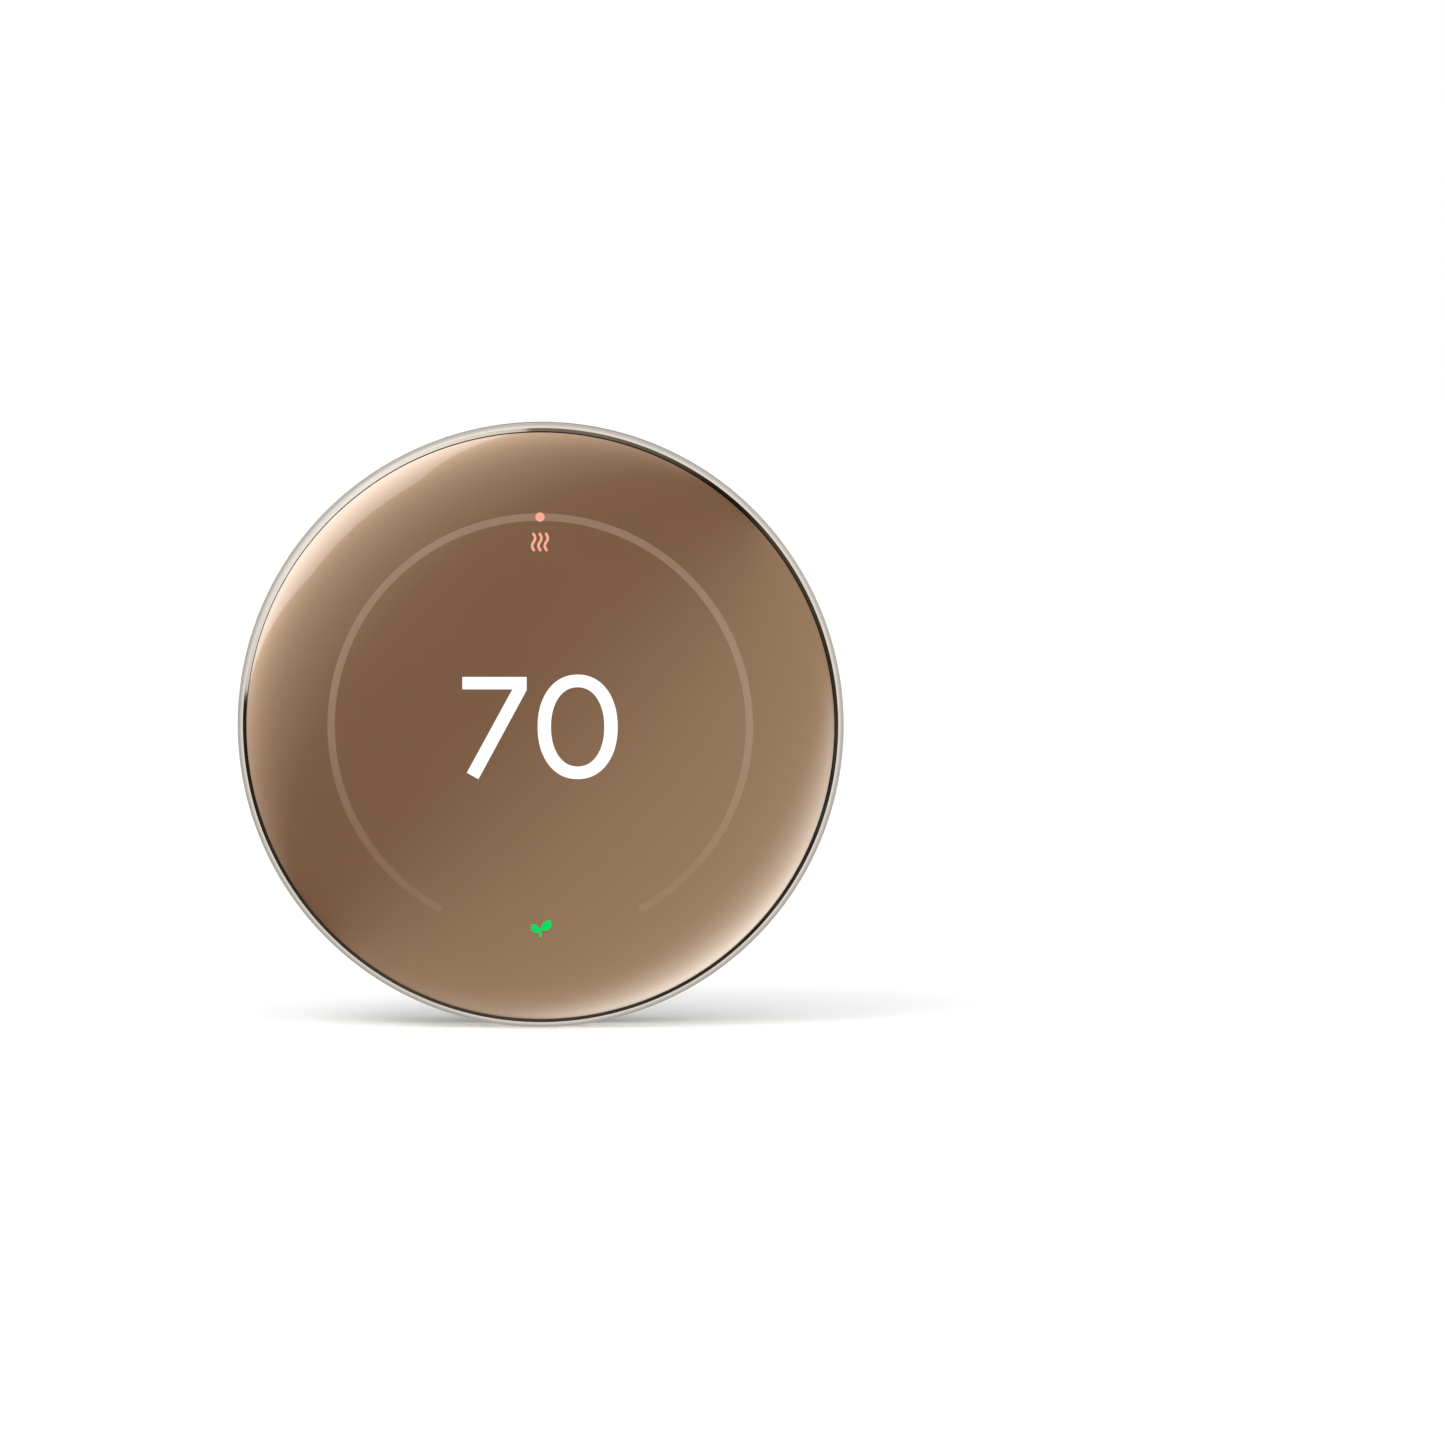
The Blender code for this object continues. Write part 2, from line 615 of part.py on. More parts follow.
def base_deck():
    """The front cover of the base, with windows over what is reached from the front."""
    opening = terminal_inner - GAP
    deck = turned(
        "base_deck",
        [
            (base_outer - PLATE_EDGE, deck_front),
            (base_outer, deck_front - PLATE_EDGE),
            (base_outer, deck_back),
            (opening, deck_back),
            (opening, deck_front),
        ],
        "base_plastic",
        BASE,
    )
    below, above = deck_back - MM, deck_front + MM
    spare = math.degrees(WINDOW_GAP / terminal_inner)
    half = TERMINAL_SPAN / 2 + spare
    windows = [
        sector(opening / 2, terminal_outer + WINDOW_GAP, middle - half, middle + half)
        for middle in (0, 180)
    ]
    windows += [
        rounded(
            VIAL_LENGTH + 2 * (VIAL_CAP + GAP + WINDOW_GAP),
            2 * (VIAL_RADIUS + WINDOW_GAP),
            0.6 * MM,
            level_place,
        ),
        rounded(
            SOCKET_LENGTH + 2 * WINDOW_GAP,
            SOCKET_WIDTH + 2 * WINDOW_GAP,
            0.6 * MM,
            socket_place,
        ),
    ]
    for side in (1, -1):
        length = SLOT_LENGTH + 2 * TOWER_WALL
        width = SLOT_WIDTH + 2 * TOWER_WALL
        windows.append(slot(length, width, (0, side * wall_screw_circle)))
    for angle in GRIP_ANGLES:
        radius = GRIP_POST_RADIUS + 2 * WINDOW_GAP
        windows.append(circle(radius, polar(fixing_circle, angle), COARSE))
    for angle in DECK_SCREW_ANGLES:
        hole = SCREW_RADIUS + SHANK_GAP
        windows.append(circle(hole, polar(fixing_circle, angle), COARSE))
    for i, window in enumerate(windows):
        cut(deck, slab(f"deck_window_{i}", [window], below, above, None, BASE))
    for i, angle in enumerate(DECK_SCREW_ANGLES):
        centre = polar(fixing_circle, angle)
        radius = DECK_SCREW_HEAD_RADIUS + GAP
        floor = deck_front - SCREW_HEAD_HEIGHT - GAP
        cut(deck, rod(f"counterbore_{i}", radius, floor, above, centre, None, BASE))
        seat = (*centre, deck_front - SCREW_HEAD_HEIGHT - 0.1 * MM)
        length = seat[2] - base_board_front
        name = f"deck_screw_{i + 1}"
        screw(name, DECK_SCREW_HEAD_RADIUS, SCREW_HEAD_HEIGHT, SCREW_RADIUS, length, seat, BASE)


def spirit_level():
    """A clear vial with end caps and a bubble, so that the plate can be set level."""
    x, y = level_place
    height = base_board_front + GAP + VIAL_RADIUS
    along_x = (0, math.radians(90), 0)
    half = VIAL_LENGTH / 2
    bore = VIAL_RADIUS - VIAL_WALL
    tube = [(VIAL_RADIUS, half), (VIAL_RADIUS, -half), (bore, -half), (bore, half)]
    turned("level_vial", tube, "clear", BASE, COARSE, (x, y, height), along_x)
    for name, side in (("level_cap_left", -1), ("level_cap_right", 1)):
        cap = [
            (0, VIAL_CAP / 2),
            (VIAL_RADIUS - 0.2 * MM, VIAL_CAP / 2),
            (VIAL_RADIUS, 0.1 * MM),
            (VIAL_RADIUS, -VIAL_CAP / 2),
            (0, -VIAL_CAP / 2),
        ]
        centre = (x + side * (half + GAP + VIAL_CAP / 2), y, height)
        turned(name, cap, "liner_plastic", BASE, COARSE, centre, (0, side * math.radians(90), 0))
    mesh = bpy.data.meshes.new("level_bubble")
    ball = bmesh.new()
    bmesh.ops.create_uvsphere(ball, u_segments=12, v_segments=8, radius=1.0)
    size = (bore * 1.4, bore * 0.55, bore * 0.65)
    bmesh.ops.scale(ball, vec=size, verts=ball.verts)
    ball.to_mesh(mesh)
    ball.free()
    place("level_bubble", mesh, "bubble", BASE, (x, y + bore * 0.3, height))


def base_socket():
    """The board-to-board socket that the head plugs into."""
    tip = socket_front - PLUG_REACH
    body = standing(
        "base_socket", SOCKET_LENGTH, SOCKET_WIDTH, terminal_back, socket_front,
        socket_place, "chip", BASE, 0.2 * MM,
    )
    mouth = standing(
        "socket_mouth", PLUG_LENGTH + 2 * GAP, PLUG_WIDTH + 2 * GAP, tip - GAP,
        socket_front + MM, socket_place, None, BASE,
    )
    cut(body, mouth)


def grip_clips():
    """Split spring rings on the base that grip the posts of the head."""
    inner = GRIP_POST_RADIUS + GAP
    outer = inner + CLIP_WALL
    profile = [
        (outer, rim_front),
        (outer, terminal_back),
        (inner, terminal_back),
        (inner, rim_front),
    ]
    for i, angle in enumerate(GRIP_ANGLES):
        x, y = polar(fixing_circle, angle)
        name = f"grip_clip_{i + 1}"
        clip = turned(name, profile, "steel", BASE, COARSE, (x, y, 0))
        split = (2 * outer, 0.6 * MM, 2 * rim_front)
        turn = math.radians(angle)
        cx, cy = polar(outer, angle)
        cut(clip, block(f"{name}_split", split, (x + cx, y + cy, rim_front), None, BASE, 0, turn))


# ---------------------------------------------------------------- head
def usb_place():
    return (above_battery, above_battery + 4.0 * MM)


def head_can():
    """The cup that holds the works: posts for the screws, grip posts behind, windows."""
    can = turned(
        "head_can",
        [
            (0, can_floor),
            (can_inner, can_floor),
            (can_inner, can_front),
            (can_outer, can_front),
            (can_outer, can_back + CAN_EDGE),
            (can_outer - CAN_EDGE, can_back),
            (0, can_back),
        ],
        "shell_plastic",
        HEAD,
    )
    inside_floor = (can_back + can_floor) / 2
    for i, angle in enumerate(SHOULDER_ANGLES):
        centre = polar(shoulder_circle, angle)
        top = can_floor + SHOULDER_POST_HEIGHT
        post = rod(f"shoulder_post_{i}", SHOULDER_POST_RADIUS, inside_floor, top, centre, None, HEAD)
        join(can, post)
        hole = SHOULDER_RADIUS + SHANK_GAP
        cut(can, rod(f"shoulder_hole_{i}", hole, can_floor, top + MM, centre, None, HEAD))
    for i, angle in enumerate(BOARD_SCREW_ANGLES):
        centre = board_screw_place(angle)
        top = main_board_back - GAP
        join(can, rod(f"board_boss_{i}", BOARD_BOSS_RADIUS, inside_floor, top, centre, None, HEAD))
        hole = SCREW_RADIUS + SHANK_GAP
        cut(can, rod(f"board_hole_{i}", hole, can_floor - 0.2 * MM, top + MM, centre, None, HEAD))
    for i, angle in enumerate(GRIP_ANGLES):
        centre = polar(fixing_circle, angle)
        tip = can_back - GRIP_POST_LENGTH
        post = turned(
            f"grip_post_{i}",
            [
                (0, inside_floor),
                (GRIP_POST_RADIUS, inside_floor),
                (GRIP_POST_RADIUS, tip + 0.5 * MM),
                (GRIP_POST_RADIUS - 0.5 * MM, tip),
                (0, tip),
            ],
            None, HEAD, COARSE, (*centre, 0),
        )
        join(can, post)
    below, above = can_back - MM, can_floor + MM
    length, width = PLUG_LENGTH + 2 * WINDOW_GAP, PLUG_WIDTH + 2 * WINDOW_GAP
    plug_window = rounded(length, width, 0.5 * MM, socket_place)
    cut(can, slab("plug_window", [plug_window], below, above, None, HEAD))
    usb_window = slot(USB_LENGTH + 2 * GAP, USB_WIDTH + 2 * GAP, usb_place())
    cut(can, slab("usb_window", [usb_window], below, above, None, HEAD))
    for i in range(VENT_COUNT):
        angle = VENT_ANGLE + VENT_PITCH * (i - (VENT_COUNT - 1) / 2)
        centre = (*polar(can_outer, angle), can_floor + MM)
        size = (4 * CAN_WALL, VENT_WIDTH, VENT_HEIGHT)
        cut(can, block(f"vent_{i}", size, centre, None, HEAD, 0, math.radians(angle)))


def board_screw_place(angle):
    return polar(main_board_outer - BOARD_SCREW_INSET, angle)


def main_board():
    """The circuit board of the head, open round the battery and notched at the posts."""
    spare = 2 * WINDOW_GAP
    holes = [
        rounded(BATTERY_LENGTH + spare, BATTERY_WIDTH + spare, BATTERY_CORNER + WINDOW_GAP),
        slot(USB_LENGTH + spare, USB_WIDTH + spare, usb_place()),
    ]
    for angle in BOARD_SCREW_ANGLES:
        holes.append(circle(SCREW_RADIUS + SHANK_GAP, board_screw_place(angle), COARSE))
    outlines = [circle(main_board_outer), *holes]
    board = slab("main_board", outlines, main_board_back, main_board_front, "board", HEAD)
    for i, angle in enumerate(SHOULDER_ANGLES):
        centre = polar(shoulder_circle, angle)
        radius = SHOULDER_POST_RADIUS + WINDOW_GAP
        below, above = main_board_back - MM, main_board_front + MM
        cut(board, rod(f"board_notch_{i}", radius, below, above, centre, None, HEAD))
    for i, angle in enumerate(BOARD_SCREW_ANGLES):
        seat = (*board_screw_place(angle), main_board_front + 0.2 * MM)
        length = seat[2] - can_floor - GAP
        name = f"board_screw_{i + 1}"
        screw(name, SCREW_HEAD_RADIUS, SCREW_HEAD_HEIGHT, SCREW_RADIUS, length, seat, HEAD)


def battery():
    """The flat cell that carries the head through a power cut."""
    outline = rounded(BATTERY_LENGTH, BATTERY_WIDTH, BATTERY_CORNER)
    front = battery_back + BATTERY_THICKNESS
    slab("battery", [outline], battery_back, front, "cell_wrap", HEAD)


def shield_can():
    """The tin cover over the radio: an open shell standing on the board."""
    length, width, height = SHIELD_LENGTH, SHIELD_WIDTH, SHIELD_HEIGHT
    mesh = bpy.data.meshes.new("shield_can")
    box = bmesh.new()
    bmesh.ops.create_cube(box, size=1.0)
    bmesh.ops.scale(box, vec=(length, width, height), verts=box.verts)
    lowest = min(box.faces, key=lambda face: face.calc_center_median().z)
    bmesh.ops.delete(box, geom=[lowest], context="FACES_ONLY")
    box.to_mesh(mesh)
    box.free()
    centre = (-length / 2, above_battery + width / 2, on_board + height / 2)
    made = place("shield_can", mesh, "tin_plate", HEAD, centre)
    wall = made.modifiers.new("Sheet", "SOLIDIFY")
    wall.thickness = SHIELD_SHEET
    wall.offset = -1
    wall.use_even_offset = True


def head_plug():
    """The plug behind the head: a flange under the board and a tongue into the socket."""
    back, front = can_floor + GAP, main_board_back - GAP
    plug = standing(
        "head_plug", PLUG_LENGTH + 3 * MM, PLUG_WIDTH + 2.4 * MM, back, front,
        socket_place, "chip", HEAD,
    )
    tip = socket_front - PLUG_REACH
    tongue = standing(
        "plug_tongue", PLUG_LENGTH, PLUG_WIDTH, tip, (back + front) / 2, socket_place, None, HEAD,
    )
    join(plug, tongue)


def usb_socket():
    """The service socket, open at the back of the head, with its contact tongue."""
    back, front = can_back + 0.2 * MM, head_parts_front
    outline = slot(USB_LENGTH, USB_WIDTH)
    shell = slab("usb_socket", [outline], back, front, "tin_plate", HEAD, usb_place())
    mouth = slot(USB_LENGTH - 2 * USB_SHEET, USB_WIDTH - 2 * USB_SHEET)
    cavity_front = front - 0.8 * MM
    cut(shell, slab("usb_mouth", [mouth], back - MM, cavity_front, None, HEAD, usb_place()))
    tongue = standing(
        "usb_tongue", USB_TONGUE_LENGTH, USB_TONGUE_THICKNESS, back + 0.6 * MM, front - 0.4 * MM,
        usb_place(), None, HEAD,
    )
    join(shell, tongue)


def board_parts():
    """The larger components on the front of the main board."""
    top = on_board + SOUNDER_HEIGHT
    turned(
        "sounder",
        [
            (SOUNDER_HOLE, top),
            (SOUNDER_RADIUS - 0.3 * MM, top),
            (SOUNDER_RADIUS, top - 0.3 * MM),
            (SOUNDER_RADIUS, on_board),
            (SOUNDER_HOLE, on_board),
        ],
        "chip", HEAD, MEDIUM, (beside_battery + SOUNDER_RADIUS, 0, 0),
    )
    left = -(beside_battery + 3.5 * MM)
    length, width, height = RADAR_SIZE
    standing(
        "radar_module", length, width, on_board, on_board + height,
        (left, -8.5 * MM), "chip", HEAD, COMPONENT_BEVEL,
    )
    place_of_sensor = board_screw_place(VENT_ANGLE)
    top = on_board + CLIMATE_SENSOR_HEIGHT
    sensor = standing(
        "climate_sensor", CLIMATE_SENSOR, CLIMATE_SENSOR, on_board, top,
        place_of_sensor, "chip", HEAD, COMPONENT_BEVEL, math.radians(VENT_ANGLE),
    )
    window = rod(
        "climate_window", 0.5 * MM, top - 0.4 * MM, top + MM, place_of_sensor, None, HEAD, 8,
    )
    cut(sensor, window)
    switch(left)


def switch(left):
    """The press switch and its plunger, which the carrier drives into it."""
    centre = (left, 0)
    front = carrier_back - GAP
    bore_floor = front - PLUNGER_LENGTH - FACE_TRAVEL - GAP
    body_front = front - PLUNGER_OUT
    body = standing(
        "press_switch", SWITCH_SIDE, SWITCH_SIDE, on_board, body_front,
        centre, "chip", HEAD, COMPONENT_BEVEL,
    )
    radius = PLUNGER_RADIUS
    bore = rod("switch_bore", radius + GAP, bore_floor, body_front + MM, centre, None, HEAD)
    cut(body, bore)
    turned(
        "switch_plunger",
        [
            (0, front),
            (radius - 0.3 * MM, front),
            (radius, front - 0.3 * MM),
            (radius, front - PLUNGER_LENGTH),
            (0, front - PLUNGER_LENGTH),
        ],
        "tab_plastic", HEAD, COARSE, (*centre, 0),
    )


def shoulder_screws_and_springs():
    """Three shoulder screws hold the face to the can and three springs push it out."""
    post_top = can_floor + SHOULDER_POST_HEIGHT
    spring_radius = SHOULDER_RADIUS + GAP + SPRING_WIRE
    points_per_turn = 8
    for i, angle in enumerate(SHOULDER_ANGLES):
        centre = polar(shoulder_circle, angle)
        seat = (*centre, carrier_front + GAP)
        length = seat[2] - can_floor - GAP
        name = f"shoulder_screw_{i + 1}"
        screw(name, SHOULDER_HEAD_RADIUS, SHOULDER_HEAD_HEIGHT, SHOULDER_RADIUS, length, seat, HEAD)
        low = post_top + GAP + SPRING_WIRE / 2
        high = carrier_back - GAP - SPRING_WIRE / 2
        count = round(SPRING_TURNS * points_per_turn)
        helix = []
        for k in range(count + 1):
            x, y = polar(spring_radius, 360 * k / points_per_turn)
            helix.append((x, y, low + (high - low) * k / count))
        coil(f"return_spring_{i + 1}", helix, centre)


def coil(name, helix, centre):
    curve = bpy.data.curves.new(name, "CURVE")
    curve.dimensions = "3D"
    curve.bevel_depth = SPRING_WIRE / 2
    curve.bevel_resolution = 2
    curve.use_fill_caps = True
    spline = curve.splines.new("POLY")
    spline.points.add(len(helix) - 1)
    for point, place_at in zip(spline.points, helix):
        point.co = (*place_at, 1)
    curve.materials.append(FINISHES["steel"])
    made = bpy.data.objects.new(name, curve)
    made.parent = HEAD
    made.location = (*centre, 0)
    PARTS.objects.link(made)


# ---------------------------------------------------------------- face
def face_carrier():
    """The plate behind the display: a rim for the glass, a skirt for the bearing, bosses."""
    carrier = turned(
        "face_carrier",
        [
            (0, carrier_front),
            (carrier_outer - CARRIER_RIM, carrier_front),
            (carrier_outer - CARRIER_RIM, carrier_rim_front),
            (carrier_outer, carrier_rim_front),
            (carrier_outer, carrier_flange_back),
            (can_outer + GAP, carrier_flange_back),
            (can_outer + GAP, carrier_back),
            (0, carrier_back),
        ],
        "liner_plastic",
        FACE,
    )
    for i, angle in enumerate(RETAINER_ANGLES):
        centre = polar(boss_circle, angle)
        back = retainer_front + GAP
        join(carrier, rod(f"carrier_boss_{i}", BOSS_RADIUS, back, boss_root, centre, None, FACE))
        hole = SCREW_RADIUS + SHANK_GAP
        cut(carrier, rod(f"carrier_hole_{i}", hole, back - MM, boss_hole_end, centre, None, FACE))
    for i, angle in enumerate(SHOULDER_ANGLES):
        centre = polar(shoulder_circle, angle)
        hole = SHOULDER_RADIUS + SHANK_GAP
        below, above = carrier_back - MM, carrier_front + MM
        cut(carrier, rod(f"shoulder_way_{i}", hole, below, above, centre, None, FACE))
    x, y = flex_place()
    way = standing(
        "flex_way", FLEX_WIDTH + 2 * WINDOW_GAP, FLEX_THICKNESS + 2 * WINDOW_GAP,
        carrier_back - MM, carrier_front + MM, (x, y), None, FACE,
    )
    cut(carrier, way)


def flex_place():
    return (0, display_outer + WINDOW_GAP + FLEX_THICKNESS / 2)


def display():
    """The backlight and the display, both round, and the ribbon to the main board."""
    front = backlight_back + BACKLIGHT_THICKNESS
    step = 0.3 * MM
    turned(
        "display_backlight",
        [(0, front), (display_outer - step, front), (display_outer - step, backlight_back), (0, backlight_back)],
        "diffuser",
        FACE,
    )
    front = display_back + DISPLAY_THICKNESS
    turned(
        "display_module",
        [
            (0, front),
            (display_outer - step, front),
            (display_outer, front - step),
            (display_outer, display_back),
            (0, display_back),
        ],
        "screen",
        FACE,
    )
    x, y = flex_place()
    tail_back = carrier_back - GAP - FLEX_THICKNESS
    ribbon = standing(
        "display_flex", FLEX_WIDTH, FLEX_THICKNESS, tail_back, display_back + MM,
        (x, y), "flex", FACE,
    )
    tail = standing(
        "flex_tail", FLEX_WIDTH, FLEX_TAIL, tail_back, tail_back + FLEX_THICKNESS,
        (x, y + FLEX_THICKNESS / 2 - FLEX_TAIL / 2), None, FACE,
    )
    join(ribbon, tail)
    length, width, height = LIGHT_SENSOR_SIZE
    standing(
        "light_sensor", length, width, carrier_front + GAP, carrier_front + GAP + height,
        (0, y + 3.2 * MM), "chip", FACE, COMPONENT_BEVEL,
    )
    encoder_middle = (can_outer + GAP + liner_flange_inner) / 2
    encoder = (liner_flange_inner - can_outer) - 4 * GAP
    standing(
        "encoder_sensor", encoder, ENCODER_SENSOR_WIDTH, retainer_front + GAP, carrier_flange_back - GAP,
        polar(encoder_middle, 270), "chip", FACE, 0, math.radians(270),
    )


def cover_glass():
    """The bronze mirror glass: flat behind, an elliptic dome in front, a ground edge."""
    count = 9
    dome = []
    for i in range(count + 1):
        turn = math.radians(90 * i / count)
        dome.append((glass_outer * math.sin(turn), dome_back + DOME_RISE * math.cos(turn)))
    dome[0] = (0, dome_back + DOME_RISE)
    edge = [
        (glass_outer, glass_back + GLASS_EDGE_BEVEL),
        (glass_outer - GLASS_EDGE_BEVEL, glass_back),
        (0, glass_back),
    ]
    turned("cover_glass", dome + edge, "mirror_glass", FACE, OUTSIDE)
    outer = carrier_outer - GAP
    front = gasket_back + GASKET_THICKNESS
    turned(
        "glass_gasket",
        [
            (outer, front),
            (outer, gasket_back),
            (outer - GASKET_WIDTH, gasket_back),
            (outer - GASKET_WIDTH, front),
        ],
        "foam",
        FACE,
    )


def ring_retainer():
    """The washer behind the ring, screwed to the carrier's bosses, that keeps it on."""
    retainer = turned(
        "ring_retainer",
        [
            (liner_inner, retainer_front),
            (liner_inner, retainer_back + 0.4 * MM),
            (liner_inner - 0.4 * MM, retainer_back),
            (retainer_inner, retainer_back),
            (retainer_inner, retainer_front),
        ],
        "shell_plastic",
        FACE,
    )
    for i, angle in enumerate(RETAINER_ANGLES):
        centre = polar(boss_circle, angle)
        hole = SCREW_RADIUS + SHANK_GAP
        below, above = retainer_back - MM, retainer_front + MM
        cut(retainer, rod(f"retainer_hole_{i}", hole, below, above, centre, None, FACE))
        seat = (*centre, retainer_back - 0.2 * MM)
        length = boss_hole_end - 0.1 * MM - seat[2]
        head_back = (math.radians(180), 0, 0)
        name = f"retainer_screw_{i + 1}"
        screw(
            name, SCREW_HEAD_RADIUS, SCREW_HEAD_HEIGHT, SCREW_RADIUS, length, seat, FACE, head_back,
        )


def bearing_ring():
    """The slip ring on the carrier that the liner runs on."""
    back, front = carrier_flange_back, carrier_rim_front
    profile = [
        (bearing_outer, front),
        (bearing_outer, back),
        (bearing_inner, back),
        (bearing_inner, front),
    ]
    turned("bearing_ring", profile, "bearing_plastic", FACE)


# ---------------------------------------------------------------- ring
def dial_ring():
    """The metal ring: land and polished bevel in front, a wall that draws in behind."""
    land_inner = ring_outer - RING_LAND
    turned(
        "dial_ring",
        [
            (land_inner, ring_front),
            (ring_outer - RING_EDGE, ring_front),
            (ring_outer, ring_front - RING_EDGE),
            (ring_outer, (ring_front + 2 * ring_back) / 3),
            (ring_outer - RING_TAPER, ring_back),
            (ring_inner, ring_back),
            (ring_inner, ring_front - RING_LIP_DEPTH),
            (lip_inner, ring_front - RING_LIP_DEPTH),
            (lip_inner, ring_front - RING_BEVEL_DEPTH),
        ],
        "ring_metal",
        RING,
        OUTSIDE,
    )


def ring_liner():
    """The plastic liner bonded inside the ring; its flange is slotted for the encoder."""
    front = min(carrier_rim_front, ring_front - RING_LIP_DEPTH - GAP)
    liner = turned(
        "ring_liner",
        [
            (liner_outer, front),
            (liner_outer, liner_back),
            (liner_flange_inner, liner_back),
            (liner_flange_inner, flange_front),
            (liner_inner, flange_front),
            (liner_inner, front),
        ],
        "liner_plastic",
        RING,
    )
    pitch = 360 / ENCODER_SLOTS
    inner = liner_flange_inner - MM
    outer = liner_flange_inner + ENCODER_SLOT_DEPTH
    below, above = liner_back - MM, flange_front + MM
    outlines = [
        sector(inner, outer, pitch * i + pitch / 8, pitch * i + pitch * 5 / 8, 10)
        for i in range(ENCODER_SLOTS)
    ]
    cut(liner, slab("encoder_slots", outlines, below, above, None, RING))


# ---------------------------------------------------------------- assembly
wall_plate()
base_board()
terminal_block("terminal_block_left", 180)
terminal_block("terminal_block_right", 0)
release_tabs()
base_deck()
spirit_level()
base_socket()
grip_clips()

head_can()
battery()
main_board()
shield_can()
head_plug()
usb_socket()
board_parts()
shoulder_screws_and_springs()

face_carrier()
display()
cover_glass()
ring_retainer()
bearing_ring()

dial_ring()
ring_liner()

for piece in PARTS.objects:
    if piece.type == "MESH":
        piece.data.shade_smooth()
        piece.data.set_sharp_from_angle(angle=math.radians(35))
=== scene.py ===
# %% [markdown]
# # A round wall thermostat, dressed for its picture
#
# The frame already holds every mechanical piece at its true size and place. This
# lesson gives those pieces their finishes and soft edges, makes the ones that the eye
# rests on again as fine surfaces, which are the domed glass, the turned ring and the
# springs, and adds the lit signs.
#
# The back of the thermostat lies in the plane y = 0 and its face looks towards -Y. Z
# is up, and everything is in metres.

# %% Load the frame
import json
import math

import bmesh
import bpy
import numpy as np
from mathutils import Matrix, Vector

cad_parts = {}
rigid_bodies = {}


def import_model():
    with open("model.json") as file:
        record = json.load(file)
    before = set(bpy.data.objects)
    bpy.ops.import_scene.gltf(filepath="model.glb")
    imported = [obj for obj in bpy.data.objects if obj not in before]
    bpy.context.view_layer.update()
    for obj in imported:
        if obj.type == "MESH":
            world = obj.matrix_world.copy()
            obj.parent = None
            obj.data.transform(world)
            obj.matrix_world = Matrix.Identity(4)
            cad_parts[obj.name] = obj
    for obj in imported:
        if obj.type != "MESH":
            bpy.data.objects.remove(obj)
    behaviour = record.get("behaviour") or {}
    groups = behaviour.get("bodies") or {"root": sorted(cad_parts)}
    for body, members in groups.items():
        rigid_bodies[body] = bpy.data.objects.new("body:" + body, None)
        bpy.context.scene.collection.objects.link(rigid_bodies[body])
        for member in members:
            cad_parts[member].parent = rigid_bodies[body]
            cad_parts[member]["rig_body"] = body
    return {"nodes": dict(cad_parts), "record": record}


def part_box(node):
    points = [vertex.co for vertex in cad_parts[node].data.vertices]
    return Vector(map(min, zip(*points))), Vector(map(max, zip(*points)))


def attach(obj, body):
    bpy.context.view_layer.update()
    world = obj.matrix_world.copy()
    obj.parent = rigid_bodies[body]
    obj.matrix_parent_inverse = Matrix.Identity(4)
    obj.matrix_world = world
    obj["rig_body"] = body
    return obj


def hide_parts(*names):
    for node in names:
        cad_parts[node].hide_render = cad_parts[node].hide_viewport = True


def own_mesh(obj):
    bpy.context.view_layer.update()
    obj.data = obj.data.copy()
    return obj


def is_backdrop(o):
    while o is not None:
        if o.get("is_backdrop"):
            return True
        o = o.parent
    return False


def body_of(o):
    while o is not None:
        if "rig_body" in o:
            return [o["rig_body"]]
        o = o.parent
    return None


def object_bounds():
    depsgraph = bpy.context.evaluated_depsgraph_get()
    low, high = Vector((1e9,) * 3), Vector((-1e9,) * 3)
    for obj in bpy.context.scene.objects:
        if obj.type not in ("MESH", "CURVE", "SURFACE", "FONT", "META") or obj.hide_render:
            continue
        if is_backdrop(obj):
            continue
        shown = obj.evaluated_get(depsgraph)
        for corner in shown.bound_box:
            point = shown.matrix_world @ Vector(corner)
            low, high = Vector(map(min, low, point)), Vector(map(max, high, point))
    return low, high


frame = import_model()
cad_low, cad_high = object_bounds()
nodes = frame["nodes"]
MM = 0.001
print(len(nodes), "pieces,", [round(side / MM, 1) for side in cad_high - cad_low], "mm")

# %% [markdown]
# ## Where things are
#
# Nothing is measured twice. The glass, the ring and the display stand where the
# frame says, and the sizes of the glass and the ring are read from the boxes of the frame's own
# pieces.


# %% Read the sizes that the new surfaces keep to
def radius_of(node):
    """Half the width of a round piece."""
    low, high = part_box(node)
    return (high.x - low.x) / 2


def depth_of(node):
    """How far the back and the front of a piece stand out from the wall."""
    low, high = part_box(node)
    return -high.y, -low.y


GLASS_RADIUS = radius_of("cover_glass")
glass_back, glass_top = depth_of("cover_glass")
RING_RADIUS = radius_of("dial_ring")
ring_back, ring_front = depth_of("dial_ring")
print("glass", round(GLASS_RADIUS / MM, 2), "ring", round(RING_RADIUS / MM, 2))

# %% [markdown]
# ## Surfaces from two parameters
#
# A grid of points is the plainest way to hand a curved surface to Blender: one
# parameter runs along the rows and one across them. The helper joins each point to
# its neighbours, closes the grid on itself where it is told to, and draws a row that
# has shrunk to one point together, so no seam or pole stays open.


